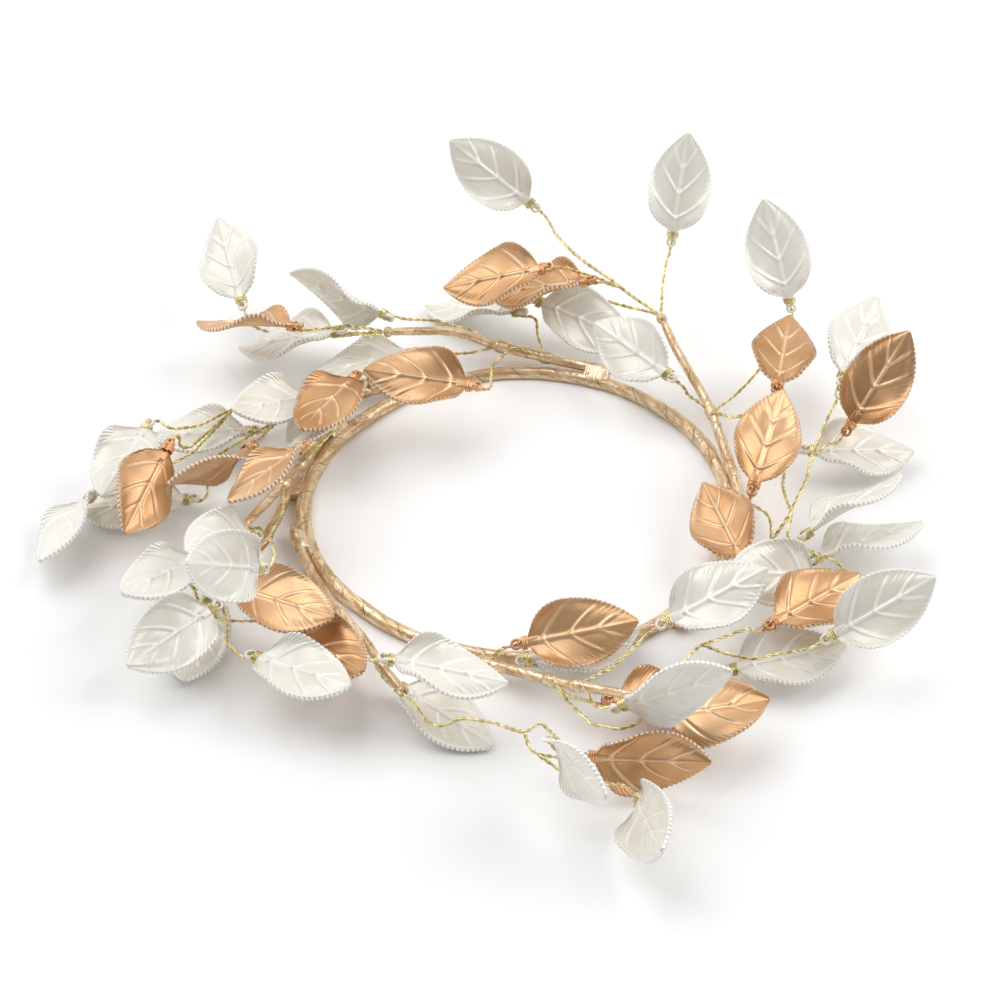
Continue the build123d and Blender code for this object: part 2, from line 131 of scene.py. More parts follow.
sprays["back_left"] = Spray(
    root_pixel_shares=[((610, 377), 0.045), ((585, 367), 0.055)],
    stem_pixel_shares=[
        ((560, 361), 0.065),
        ((545, 357), 0.08),
        ((500, 347), 0.12),
        ((455, 330), 0.2),
        ((384.6, 332), 0.26),
    ],
    twigs=[
        ("U1", [(384.6, 332), (335, 336, 0.16), (277, 334, 0.08), (254, 328, 0.1)]),
        ("U2", [(384.6, 332), (345, 325)]),
        ("U3", [(384.6, 332), (368, 338)]),
        ("U4", [(500, 347), (473.6, 332), (439, 320.5)]),
        ("U6", [(545, 357), (537, 333)]),
        ("L18", [(500, 347), (471.7, 353), (440, 354)]),
        ("L17", [(545, 357), (512, 347), (492, 366)]),
    ],
    ivory=[
        Leaf("U1", (240, 297), (218, 218), 0.28, 1, -12),
        Leaf("U3", (332, 332), (238, 348.5), 0.24, 1, 58),
        Leaf("U4", (379, 313), (289, 272.7), 0.3, 1, -62),
        Leaf("U6", (513, 311), (424, 306), 0.15, 1, 62),
        Leaf("L18", (405.7, 353), (312, 375), 0.1, -1, 60),
    ],
    copper=[
        Leaf("U2", (288, 325), (196, 322), 0.38, 1, 80),
        Leaf("L17", (466, 384.6), (361.7, 369.3), 0.31, 1, 30),
    ],
)

sprays["back_right"] = Spray(
    root_pixel_shares=[((736, 530), 0.045), ((740, 505), 0.06)],
    stem_pixel_shares=[
        ((735, 478), 0.075),
        ((725, 450), 0.09),
        ((712, 412), 0.14),
        ((700, 390), 0.18),
        ((677, 351), 0.26),
        ((660.5, 316), 0.32),
    ],
    twigs=[
        ("C6", [(660.5, 316), (662.5, 285), (665, 268)]),
        ("C5", [(660.5, 316), (621, 287.5), (573.5, 253), (556, 235)]),
        ("C1", [(621, 287.5), (590, 276)]),
        ("C2", [(621, 287.5), (607, 284)]),
        ("C3", [(660.5, 316), (640.5, 309, 0.22), (564, 293, 0.16), (535, 285, 0.17), (517, 287, 0.2)]),
        ("C4", [(712, 412), (686.4, 394.6)]),
        ("R1", [(712, 412), (735, 396, 0.16), (761.6, 367.5, 0.18), (783, 335, 0.22)]),
        ("R2", [(712, 412), (735, 418), (760, 408)]),
    ],
    ivory=[
        Leaf("C5", (527, 201), (449, 140), 0.38, 1, 0),
        Leaf("C6", (673, 231), (689, 129.5), 0.38, 1, 0),
        Leaf("C3", (543, 303), (640, 345), 0.24, 1, -20),
        Leaf("C4", (664.4, 372), (593.6, 322), 0.3, 1, 0),
        Leaf("R1", (788.4, 297), (763.5, 197.4), 0.34, 1, 0),
    ],
    copper=[
        Leaf("C1", (538.5, 269), (443, 288.4), 0.5, 1, 35),
        Leaf("C2", (581, 281), (490, 296), 0.42, 1, 60),
        Leaf("R2", (778, 382), (790, 315), 0.34, 1, 0),
    ],
)

sprays["right"] = Spray(
    root_pixel_shares=[((672, 625), 0.045), ((700, 610), 0.055)],
    stem_pixel_shares=[((722, 594), 0.06), ((748, 572), 0.08), ((771, 543), 0.12)],
    twigs=[
        ("R3", [(771, 543), (771, 515), (754, 505)]),
        ("R5", [(771, 543), (791, 512, 0.22), (806, 480, 0.3), (811, 461, 0.33), (826, 444)]),
        ("R4", [(811, 461), (822, 430), (838, 398)]),
        ("R6", [(791, 512), (782, 485)]),
        ("R7A", [(791, 512), (788, 535)]),
        ("R7B", [(771, 543), (785, 556)]),
        ("R9", [(748, 572), (752, 584)]),
        ("R11", [(771, 543), (804, 548, 0.13), (834, 560, 0.17), (847, 572)]),
    ],
    ivory=[
        Leaf("R4", (844.6, 373), (877, 296.5), 0.34, 1, 0),
        Leaf("R6", (815, 450), (915, 452), 0.15, 1, -40),
        Leaf("R7A", (812, 529.5), (902, 473), 0.2, 1, -75),
        Leaf("R7B", (822, 556), (924, 521), 0.1, 1, -66),
        Leaf("R11", (812, 575), (728, 572), 0.12, -1, 12),
    ],
    copper=[
        Leaf("R3", (755, 481), (783, 388.5), 0.3, 1, 0),
        Leaf("R5", (852.7, 421), (911.6, 328), 0.36, 1, 0),
        Leaf("R9", (740, 555), (703, 482.5), 0.24, 1, 0),
    ],
)

sprays["front_right"] = Spray(
    root_pixel_shares=[((425, 646), 0.045), ((450, 655), 0.05)],
    stem_pixel_shares=[
        ((470, 660), 0.055),
        ((487, 664), 0.07),
        ((520.5, 672), 0.11),
        ((551, 681), 0.14),
        ((577, 686), 0.18),
        ((642, 696), 0.26),
    ],
    twigs=[
        ("R12", [(642, 696), (676, 671), (692, 653), (702, 645), (728, 635), (750, 628)]),
        ("R13", [(702, 645), (724, 653), (754, 659), (804, 650)]),
        ("R14", [(676, 671), (705, 675)]),
        ("R15", [(551, 681), (566, 694), (590, 702)]),
        ("R16", [(551, 681), (564, 697), (592, 725), (620, 729), (640, 722)]),
        ("R17", [(577, 686), (590, 692)]),
        ("R24", [(487, 664), (495, 655)]),
        ("R25", [(487, 664), (500, 662)]),
        ("R10", [(577, 686), (612, 668), (640, 642)]),
    ],
    ivory=[
        Leaf("R10", (671.5, 619), (768.5, 567.6), 0.26, 1, -15),
        Leaf("R13", (837, 633), (938, 575.5), 0.3, 1, 0),
        Leaf("R14", (738, 667.5), (848, 645), 0.09, 1, -32),
        Leaf("R15", (627, 705), (733, 671), 0.4, -1, 50),
        Leaf("R25", (533, 658), (640, 629), 0.09, 1, -30),
    ],
    copper=[
        Leaf("R12", (778, 620), (861, 574), 0.26, 1, -20),
        Leaf("R16", (664, 717), (770, 700), 0.28, 1, 150),
        Leaf("R17", (619, 700), (728, 700), 0.13, 1, -43),
        Leaf("R24", (528.5, 642), (643.5, 620), 0.2, 1, -10),
    ],
)

sprays["front"] = Spray(
    root_pixel_shares=[((297, 528), 0.045), ((303, 556), 0.055)],
    stem_pixel_shares=[
        ((316, 583), 0.06),
        ((338, 610), 0.1),
        ((365, 641), 0.14),
        ((382, 667), 0.16),
        ((404.4, 692.8), 0.19),
    ],
    twigs=[
        ("R19", [(404.4, 692.8), (427, 721), (442, 727), (460, 719), (494, 722), (525, 734), (541, 722)]),
        ("R18", [(525, 734), (529.5, 748), (538, 755), (560, 758)]),
        ("R20", [(538, 755), (565, 775), (592, 784), (618, 784)]),
        ("R21", [(382, 667)]),
        ("R22", [(382, 667)]),
    ],
    ivory=[
        Leaf("R19", (556.6, 746), (606.5, 798), 0.36, -1, 72),
        Leaf("R20", (639, 803.5), (662, 850.5), 0.16, -1, 40),
        Leaf("R21", (395.5, 660), (510.5, 683.8), 0.36, -1, -45),
        Leaf("R22", (404, 689), (493, 747), 0.08, -1, -38),
    ],
    copper=[
        Leaf("R18", (595, 758), (714, 762), 0.19, 1, 35),
    ],
)

sprays["front_left"] = Spray(
    root_pixel_shares=[((288, 482), 0.03), ((286.5, 491), 0.035)],
    stem_pixel_shares=[((285.5, 499), 0.05), ((262, 548), 0.08), ((225, 575), 0.1), ((192, 586), 0.13)],
    twigs=[
        ("L5", [(192, 586), (215, 586)]),
        ("L6", [(192, 586), (207, 588)]),
        ("L7", [(192, 586), (206, 570)]),
        ("L1", [(192, 586), (204, 612, 0.15), (226.5, 621, 0.155), (255, 621), (272, 622)]),
        ("L2", [(226.5, 621), (226.5, 641)]),
        ("L4", [(226.5, 621), (222, 600)]),
    ],
    ivory=[
        Leaf("L2", (260, 658), (351, 687), 0.2, -1, -40),
        Leaf("L5", (208.6, 611), (127, 666.7), 0.23, -1, 10),
        Leaf("L6", (206, 606), (184.6, 681), 0.05, -1, 20),
        Leaf("L7", (197, 560), (121.4, 594), 0.18, -1, 50),
    ],
    copper=[
        Leaf("L1", (296, 632), (363, 672), 0.14, -1, -20),
        Leaf("L4", (243, 590), (334, 618), 0.25, -1, -30),
    ],
)

sprays["left"] = Spray(
    root_pixel_shares=[((348, 418), 0.045), ((324, 441), 0.06)],
    stem_pixel_shares=[((303, 462), 0.09), ((284, 484), 0.14), ((240.8, 529), 0.2)],
    twigs=[
        ("L8a", [(240.8, 529), (262, 528)]),
        ("L8b", [(284, 484), (283.7, 510.6, 0.26), (269, 537, 0.38), (276, 553, 0.46)]),
        ("L19", [(303, 462), (336, 428, 0.14), (352, 400, 0.11)]),
        ("L20", [(303, 462), (316, 446)]),
    ],
    ivory=[
        Leaf("L8a", (251, 537), (186, 552), 0.24, -1, 20),
        Leaf("L8b", (257, 568), (186, 563), 0.54, -1, 0),
        Leaf("L19", (332, 409.5), (297, 443.5), 0.12, -1, 70),
    ],
    copper=[
        Leaf("L20", (297.3, 450), (228, 502), 0.42, -1, 68),
    ],
)

sprays["upper_left"] = Spray(
    root_pixel_shares=[((440, 374), 0.045), ((405, 382), 0.06)],
    stem_pixel_shares=[((370, 391), 0.08), ((311, 397), 0.12), ((234.4, 409), 0.17)],
    twigs=[
        ("L11", [(234.4, 409), (200, 425), (170, 430)]),
        ("L10", [(234.4, 409), (191, 447), (180, 448)]),
        ("L12", [(234.4, 409), (190, 455, 0.2), (150, 475, 0.18), (115, 492, 0.15)]),
        ("L13", [(311, 397), (288, 415), (246, 438, 0.16), (204, 463, 0.14)]),
        ("L14", [(311, 397), (270, 418)]),
        ("L15", [(311, 397), (322, 392)]),
        ("L16", [(370, 391), (368, 376)]),
        ("L21", [(288, 415), (268, 430)]),
    ],
    ivory=[
        Leaf("L11", (144.5, 430), (102, 497), 0.25, -1, 30),
        Leaf("L12", (87, 499.5), (39, 561.5), 0.14, -1, 70),
        Leaf("L13", (182.5, 499), (75.5, 511), 0.06, -1, 48),
        Leaf("L14", (245, 430), (151, 438), 0.07, -1, 56),
        Leaf("L15", (306, 397), (234, 411), 0.2, -1, 51),
    ],
    copper=[
        Leaf("L10", (165, 452.5), (123.3, 534.3), 0.32, -1, 160),
        Leaf("L16", (351, 380), (301.4, 429.6), 0.32, -1, 40),
        Leaf("L21", (245, 450.5), (166, 486), 0.24, -1, -80),
    ],
)


def leaf_frame(leaf):
    """The leaf's neck, and its directions from neck to tip, to the side and out of the front."""
    neck = place(leaf.neck_pixel, leaf.height_share * ring_radius)
    line = sight_line(leaf.tip_pixel)
    back = view_eye - neck
    along = -line.dot(back)
    spare = along * along - (back.dot(back) - leaf_length * leaf_length)
    reach = along + leaf.lean * math.sqrt(max(spare, 0))
    axis = (view_eye + line * reach - neck).normalized()
    facing = (view_eye - neck).normalized()
    facing = (facing - axis * facing.dot(axis)).normalized()
    beside = axis.cross(facing)
    turn = math.radians(leaf.roll)
    normal = facing * math.cos(turn) + beside * math.sin(turn)
    return neck, axis, normal.cross(axis), normal


def leaf_place(leaf_axes, along, across, out):
    """A place given along, across and out of a leaf."""
    neck, axis, side, normal = leaf_axes
    return neck + axis * along + side * across + normal * out


twig_offset = stub_thickness / 2 + 2 * fit_gap + twig_diameter / 2


def spray_leaves(spray):
    return {leaf.name: leaf for leaf in spray.ivory + spray.copper}


def twig_routes(spray):
    """The points of each twig, from the stem or an earlier twig to the end of its run at the leaf."""
    known = {pixel: place(pixel, share * ring_radius) for pixel, share in spray.stem_pixel_shares}
    routes = {}
    for name, points in spray.twigs:
        leaf = spray_leaves(spray)[name]
        axes = leaf_frame(leaf)
        pixels = [point[:2] for point in points] + [leaf.neck_pixel]
        steps = [math.dist(a, b) for a, b in zip(pixels, pixels[1:])]
        route = [known[pixels[0]]]
        for index, point in enumerate(points[1:], 1):
            left = sum(steps[index - 1:])
            end_height = leaf.height_share * ring_radius
            height = route[-1].z + (end_height - route[-1].z) * steps[index - 1] / left
            if len(point) == 3:
                height = point[2] * ring_radius
            if pixels[index] not in known:
                known[pixels[index]] = place(pixels[index], height)
            route.append(known[pixels[index]])
        back = -(eye_reach + eye_diameter / 2 + straight_length)
        route.append(leaf_place(axes, back, 0, -twig_offset))
        route.append(leaf_place(axes, twig_end, 0, -twig_offset))
        routes[name] = route
    return routes


# Lines in space

twig_end = -0.9
ring_corner_shares = [1.035, 1.03, 1.025, 1.005, 0.975, 0.98, 1.025, 0.99, 0.985, 1.02, 1.03, 1.035]
ring_bend_share = 0.85
corner_run_share = 0.45
twig_bend_radius = 4.0
arc_steps = 12
least_turn = math.radians(1)


def unit(vector):
    return vector / np.linalg.norm(vector)


def turn_at(before, corner, after):
    return math.acos(np.clip(unit(corner - before) @ unit(after - corner), -1, 1))


def rounded(points, most_radius, closed=False, run_share=corner_run_share):
    """A line through the points with an arc at each corner, as large as its runs allow."""
    points = [np.array(point) for point in points]
    count = len(points)
    line = [] if closed else [points[0]]
    for index in range(count) if closed else range(1, count - 1):
        before, corner, after = points[index - 1], points[index], points[(index + 1) % count]
        turn = turn_at(before, corner, after)
        if turn < least_turn:
            line.append(corner)
            continue
        run = min(np.linalg.norm(corner - before), np.linalg.norm(after - corner))
        radius = min(run_share * run / math.tan(turn / 2), most_radius)
        into = unit(corner - before)
        out = unit(after - corner)
        inward = unit(out - into * (out @ into))
        start = corner - into * radius * math.tan(turn / 2)
        for step in range(arc_steps + 1):
            angle = turn * step / arc_steps
            line.append(start + into * radius * math.sin(angle) + inward * radius * (1 - math.cos(angle)))
    if not closed:
        line.append(points[-1])
    return np.array(line)


def spaced(line, step, closed=False):
    """The same line with its points at even spacing."""
    if closed:
        line = np.vstack([line, line[:1]])
    gaps = np.linalg.norm(np.diff(line, axis=0), axis=1)
    line = line[np.r_[True, gaps > 1e-6]]
    run = np.r_[0, np.cumsum(gaps[gaps > 1e-6])]
    count = max(int(round(run[-1] / step)), 3)
    at = np.linspace(0, run[-1], count + 1)
    if closed:
        at = at[:-1]
    return np.column_stack([np.interp(at, run, line[:, k]) for k in range(3)])


def directions(line, up, closed=False):
    """The directions along, beside and above a line at each point, carried along it without a twist."""
    if closed:
        ahead = np.roll(line, -1, 0) - np.roll(line, 1, 0)
    else:
        ahead = np.gradient(line, axis=0)
    along = ahead / np.linalg.norm(ahead, axis=1)[:, None]
    beside = np.empty_like(line)
    last = np.cross(along[0], up)
    for index, way in enumerate(along):
        last = last - way * (last @ way)
        last = last / np.linalg.norm(last)
        beside[index] = last
    return along, beside, np.cross(beside, along)


def lengths(line):
    return np.r_[0, np.cumsum(np.linalg.norm(np.diff(line, axis=0), axis=1))]


def nearest(line, point):
    return int(np.argmin(((line - np.array(point)) ** 2).sum(1)))


def ring_line():
    corners = []
    for index, share in enumerate(ring_corner_shares):
        angle = 2 * math.pi * index / len(ring_corner_shares)
        reach = ring_radius * share
        corners.append((reach * math.cos(angle), reach * math.sin(angle), ring_height))
    return rounded(corners, ring_radius * ring_bend_share, closed=True, run_share=1)


def stem_places(spray):
    return [place(pixel, share * ring_radius) for pixel, share in spray.stem_pixel_shares]


def root_places(spray, line):
    """A stem's points beside the ring, where it is bound on."""
    course = []
    stand = ring_tape_radius + stem_tape_radius + stem_stand
    for pixel, share in spray.root_pixel_shares:
        point = np.array(place(pixel, share * ring_radius))
        beside = line[nearest(line, point)]
        away = point - beside
        distance = np.linalg.norm(away)
        course.append(beside + away / distance * max(distance, stand))
    return course


# Meshes: a shell is its points in mm, its faces, and what its material reads at each point

Shell = namedtuple("Shell", "points faces lay tone")


def grid_faces(rows, columns, closed_rows=False, closed_columns=False):
    """The four-sided faces of a grid of points."""
    row = np.arange(rows if closed_rows else rows - 1)
    column = np.arange(columns if closed_columns else columns - 1)
    i, j = np.meshgrid(row, column, indexing="ij")
    up = (i + 1) % rows
    on = (j + 1) % columns
    return np.stack([i * columns + j, up * columns + j, up * columns + on, i * columns + on], -1).reshape(-1, 4)


def cap_faces(ring):
    """Three-sided faces that close a ring of points on a middle point, the last index given."""
    around, middle = ring[:-1], ring[-1]
    return np.stack([around, np.roll(around, -1), np.full(len(around), middle)], -1)


def volume(points, faces):
    total = 0.0
    for group in faces:
        corner = points[group]
        for k in range(1, group.shape[1] - 1):
            total += np.einsum("ij,ij->i", corner[:, 0], np.cross(corner[:, k], corner[:, k + 1])).sum()
    return total


def shell(points, faces, lay, tone):
    """A closed shell whose faces point outwards."""
    if volume(points, faces) < 0:
        faces = [group[:, ::-1] for group in faces]
    return Shell(points, faces, lay, np.full(len(points), tone) if np.isscalar(tone) else tone)


def tube(line, up, reach, closed=False, tone=0.5):
    """A tube along a line; reach gives its radius at each length and angle, and its flattening."""
    along, beside, above = directions(line, up, closed)
    run = lengths(line)
    rows, columns = len(line), reach.shape[1]
    angle = 2 * math.pi * np.arange(columns) / columns
    wide = (reach * np.cos(angle))[:, :, None]
    high = (reach * np.sin(angle))[:, :, None]
    points = (line[:, None] + beside[:, None] * wide + above[:, None] * high).reshape(-1, 3)
    mean = reach.mean()
    lay = np.stack(np.broadcast_arrays(run[:, None], mean * np.cos(angle), mean * np.sin(angle)), -1).reshape(-1, 3)
    faces = [grid_faces(rows, columns, closed, True)]
    if not closed:
        count = len(points)
        first = np.r_[np.arange(columns)[::-1], count]
        last = np.r_[np.arange(columns) + (rows - 1) * columns, count + 1]
        points = np.vstack([points, line[:1], line[-1:]])
        lay = np.vstack([lay, lay[:1] * 0, lay[-1:]])
        faces.append(np.vstack([cap_faces(first), cap_faces(last)])[:, ::-1])
    return shell(points, faces, lay, tone)


def make(name, shells, material):
    """One mesh object of several shells, its place in its mesh."""
    start = 0
    points, loops, starts, count = [], [], [], 0
    for item in shells:
        points.append(item.points)
        for group in item.faces:
            loops.append((group + start).ravel())
            starts.append(count + np.arange(len(group)) * group.shape[1])
            count += group.size
        start += len(item.points)
    points, loops, starts = np.vstack(points), np.concatenate(loops), np.concatenate(starts)
    mesh = bpy.data.meshes.new(name)
    mesh.vertices.add(len(points))
    mesh.vertices.foreach_set("co", (points * millimetre).astype(np.float32).ravel())
    mesh.loops.add(len(loops))
    mesh.loops.foreach_set("vertex_index", loops.astype(np.int32))
    mesh.polygons.add(len(starts))
    mesh.polygons.foreach_set("loop_start", starts.astype(np.int32))
    mesh.polygons.foreach_set("use_smooth", np.ones(len(starts), bool))
    mesh.update(calc_edges=True)
    mesh.validate()
    lay = mesh.attributes.new("lay", "FLOAT_VECTOR", "POINT")
    lay.data.foreach_set("vector", np.vstack([s.lay for s in shells]).astype(np.float32).ravel())
    tone = mesh.attributes.new("tone", "FLOAT", "POINT")
    tone.data.foreach_set("value", np.concatenate([s.tone for s in shells]).astype(np.float32))
    mesh.materials.append(material)
    piece = bpy.data.objects.new(name, mesh)
    bpy.context.scene.collection.objects.link(piece)
    return piece


# Wraps of tape

wrap_step = 0.4
wrap_sides = 30
wrap_pitch = 11.0
stem_pitch = 9.0
band_pitch = 7.0
knot_pitch = 3.0
wrap_lap = 0.06
crease_depth = 0.03
knot_length = 3.6
knot_radius = 1.75
stem_end_share = 0.76
ring_swell_angles = [math.radians(turn) for turn in (0, 60, 95, 130, 175, 215, 250, 300, 360)]
ring_swell_shares = [1.12, 1.0, 0.98, 1.1, 1.28, 1.12, 0.95, 0.98, 1.12]


def creased(run, angle, seed):
    """Small folds across a wrap of tape, from waves that differ from wrap to wrap."""
    rng = np.random.default_rng(seed)
    total = 0.0
    for wave in range(9):
        period = rng.uniform(1.6, 9.0)
        turns = rng.integers(-1, 3)
        total = total + np.sin(2 * math.pi * run / period + turns * angle + rng.uniform(0, 2 * math.pi))
    return total / 5


def wrapped_reach(run, radius, seed, pitch):
    """The radius of a wrap of tape at each length and angle: laps of a spiral, and creases."""
    angle = 2 * math.pi * np.arange(wrap_sides) / wrap_sides
    grid_run, grid_angle = np.meshgrid(run, angle, indexing="ij")
    lap = (grid_run / pitch + grid_angle / (2 * math.pi)) % 1
    folds = crease_depth * creased(grid_run, grid_angle, seed)
    return np.asarray(radius).reshape(-1, 1) + wrap_lap * (0.5 - lap) + folds


def ring_wrap(line):
    """The ring's wrap: it lies flat on the table and is a little thicker where stems are bound in."""
    line = spaced(line, wrap_step, closed=True)
    run = lengths(line)
    laps = round(run[-1] / wrap_pitch)
    pitch = (run[-1] + wrap_step) / laps
    angle = np.arctan2(line[:, 1], line[:, 0]) % (2 * math.pi)
    radius = ring_tape_radius * np.interp(angle, ring_swell_angles, ring_swell_shares)
    made = tube(line, (0, 0, 1), wrapped_reach(run, radius, 1, pitch), closed=True, tone=pitch)
    made.points[:, 2] = np.maximum(made.points[:, 2], 0.02)
    return made


def stem_wrap(spray, line, seed):
    """One stem's wrap from its bound end to its tip, thinner towards the tip."""
    places = root_places(spray, line) + [np.array(p) for p in stem_places(spray)]
    course = spaced(rounded(places, ring_radius), wrap_step)
    run = lengths(course)
    share = run / run[-1]
    radius = stem_tape_radius * np.interp(share, [0, 0.35, 0.94, 1], [1, 1, stem_end_share, stem_end_share * 0.55])
    radius = radius * np.interp(run, [0, 1.2, 4.5], [0.35, 0.75, 1])
    made = tube(course, (0, 0, 1), wrapped_reach(lengths(course), radius, seed, stem_pitch), tone=stem_pitch)
    made.points[:, 2] = np.maximum(made.points[:, 2], 0.05)
    return made


def band(spray, line, seed):
    """The tape wound round the ring and a stem, seen as one bulge with a few laps."""
    first, second = root_places(spray, line)
    middle = (first + second) / 2
    index = nearest(line, middle)
    beside = line[index]
    along = unit(line[(index + 1) % len(line)] - line[index - 1])
    away = middle - beside
    away = away - along * (away @ along)
    spacing = np.linalg.norm(away)
    away = away / spacing
    above = np.cross(along, away)
    rows = np.linspace(-3.2, 3.2, 15)
    angle = 2 * math.pi * np.arange(40) / 40
    swell = np.interp(np.abs(rows), [0, 1.4, 2.4, 3.2], [0.1, 0.09, 0.02, -0.2])
    lap = (rows[:, None] / band_pitch + angle[None] / (2 * math.pi)) % 1
    reach = swell[:, None] + 0.06 * (0.5 - lap) + 0.03 * creased(*np.meshgrid(rows, angle, indexing="ij"), seed)
    far = np.maximum(np.cos(angle), 0) > 0
    wide = np.where(far, spacing + (stem_tape_radius + reach) * np.cos(angle), (ring_tape_radius + reach) * np.cos(angle))
    radius = ring_tape_radius + (stem_tape_radius - ring_tape_radius) * (np.cos(angle) + 1) / 2
    high = (radius + reach) * np.sin(angle)
    points = beside + along * rows[:, None, None] + away * wide[..., None] + above * high[..., None]
    points = points.reshape(-1, 3)
    points[:, 2] = np.maximum(points[:, 2], 0.02)
    count = len(points)
    lay = np.stack(np.broadcast_arrays(rows[:, None], 2 * np.cos(angle), 2 * np.sin(angle)), -1).reshape(-1, 3)
    ends = np.array([beside + along * rows[0] + away * spacing / 2, beside + along * rows[-1] + away * spacing / 2])
    first_cap = np.r_[np.arange(40)[::-1], count]
    last_cap = np.r_[np.arange(40) + 14 * 40, count + 1]
    faces = [grid_faces(15, 40, False, True), np.vstack([cap_faces(first_cap), cap_faces(last_cap)])[:, ::-1]]
    return shell(np.vstack([points, ends]), faces, np.vstack([lay, lay[:2]]), band_pitch)


def knots(spray, seed):
    """The short laps of tape that hold the twigs to their stem."""
    course = spaced(rounded([np.array(p) for p in stem_places(spray)], ring_radius), 0.2)
    starts = {tuple(route[0]) for route in twig_routes(spray).values()}
    held = [np.array(p) for p in stem_places(spray) if tuple(p) in starts]
    made = []
    for number, point in enumerate(held):
        index = np.clip(nearest(course, point), 3, len(course) - 1)
        low = max(index - int(knot_length / 0.4), 0)
        piece = course[low:min(low + int(knot_length / 0.2), len(course))]
        if len(piece) < 6:
            piece = course[-8:]
        share = np.linspace(0, 1, len(piece))
        base = stem_tape_radius * np.interp(low / len(course), [0.3, 1], [1, stem_end_share])
        radius = base + (knot_radius - stem_tape_radius) * np.sin(math.pi * share) ** 0.5 - 0.05
        reach = wrapped_reach(lengths(piece), radius, seed + number, knot_pitch)
        made.append(tube(piece, (0, 0, 1), reach, tone=knot_pitch))
    return made


# Wires

strand_step = 0.3
strand_sides = 7
twist_pitch = 4.1
winding_turns = 3
winding_wire_radius = 0.24
sprayed_reach = 7.0
twig_waver = 0.1


def round_wire(line, radius, tone, up=(0.2, 0.1, 1.0)):
    return tube(line, up, np.full((len(line), strand_sides), radius), tone=tone)


def twig_line(route, phase, sprayed):
    """A twig's middle line, a little uneven, with the copper paint on it near a sprayed leaf."""
    line = spaced(rounded(route, twig_bend_radius), strand_step)
    run = lengths(line)
    waves = np.column_stack([np.sin(run / 2.3 + phase), np.cos(run / 3.1 + phase), np.sin(run / 2.7)])
    paint = np.clip(2 - 2 * (run[-1] - run) / sprayed_reach, 0, 1) if sprayed else run * 0
    return line + twig_waver * waves, phase, paint


def line_mesh(name, lines):
    """Lines in space as a mesh of edges, with each point's phase of the twist and its tone."""
    mesh = bpy.data.meshes.new(name)
    counts = [len(line) for line, phase, paint in lines]
    ends = np.cumsum(counts)
    edges = [(k, k + 1) for end, count in zip(ends, counts) for k in range(end - count, end - 1)]
    mesh.from_pydata(np.vstack([line for line, phase, paint in lines]) * millimetre, edges, [])
    phases = np.repeat([phase for line, phase, paint in lines], counts)
    for label, values in (("phase", phases), ("tone", np.concatenate([paint for line, phase, paint in lines]))):
        mesh.attributes.new(label, "FLOAT", "POINT").data.foreach_set("value", values.astype(np.float32))
    return mesh


def point_mesh(name, leaves, tones):
    """The leaves' necks as points, each with its turn in space and its tone."""
    mesh = bpy.data.meshes.new(name)
    frames = [leaf_frame(leaf) for leaf in leaves]
    mesh.from_pydata([neck * millimetre for neck, axis, side, normal in frames], [], [])
    turns = [Matrix((axis, side, normal)).transposed().to_quaternion() for neck, axis, side, normal in frames]
    mesh.attributes.new("turn", "QUATERNION", "POINT").data.foreach_set("value", np.array(turns, np.float32).ravel())
    mesh.attributes.new("tone", "FLOAT", "POINT").data.foreach_set("value", np.array(tones, np.float32))
    return mesh


def smooth(points, per_span=8):
    """A smooth line through the points."""
    points = np.array(points, float)
    ahead = np.gradient(points, axis=0)
    line = []
    for i in range(len(points) - 1):
        for step in range(per_span):
            t = step / per_span
            line.append(
                points[i] * (2 * t ** 3 - 3 * t ** 2 + 1) + points[i + 1] * (3 * t ** 2 - 2 * t ** 3)
                + ahead[i] * (t ** 3 - 2 * t ** 2 + t) + ahead[i + 1] * (t ** 3 - t ** 2)
            )
    line.append(points[-1])
    return np.array(line)


def leaf_winding(leaf_axes, painted, rng):
    """The wire that is wound round a leaf's neck and passes through its eye."""
    neck, axis, side, normal = [np.array(v) for v in leaf_axes]
    wide = neck_width / 2 + winding_wire_radius
    high = 1.02
    drop = -0.28
    turns = winding_turns + rng.uniform(-0.3, 0.5)
    count = int(turns * 14)
    local = []
    for step in range(count + 1):
        share = step / count
        angle = 2 * math.pi * turns * share
        x = -0.15 - 1.5 * share + rng.uniform(-0.05, 0.05)
        square = 0.75
        y = wide * math.copysign(abs(math.sin(angle)) ** square, math.sin(angle))
        z = drop - high * math.copysign(abs(math.cos(angle)) ** square, math.cos(angle))
        local.append((x, y, z))
    over = stub_thickness / 2 + winding_wire_radius
    local += [(-1.9, 0.35, over), (-2.5, 0.12, over), (-2.9, 0.0, over * 0.55), (-2.95, 0.0, 0.0)]
    local += [(-3.0, 0.0, -0.8), (-3.3, 0.1, -1.25), (-3.9, 0.25, -1.5)]
    local = np.array(local)
    points = neck + local[:, :1] * axis + local[:, 1:2] * side + local[:, 2:] * normal
    line = spaced(smooth(points, 3), 0.22)
    return round_wire(line, winding_wire_radius, 1.0 if painted else 0.0)


# Leaves, all from one mould

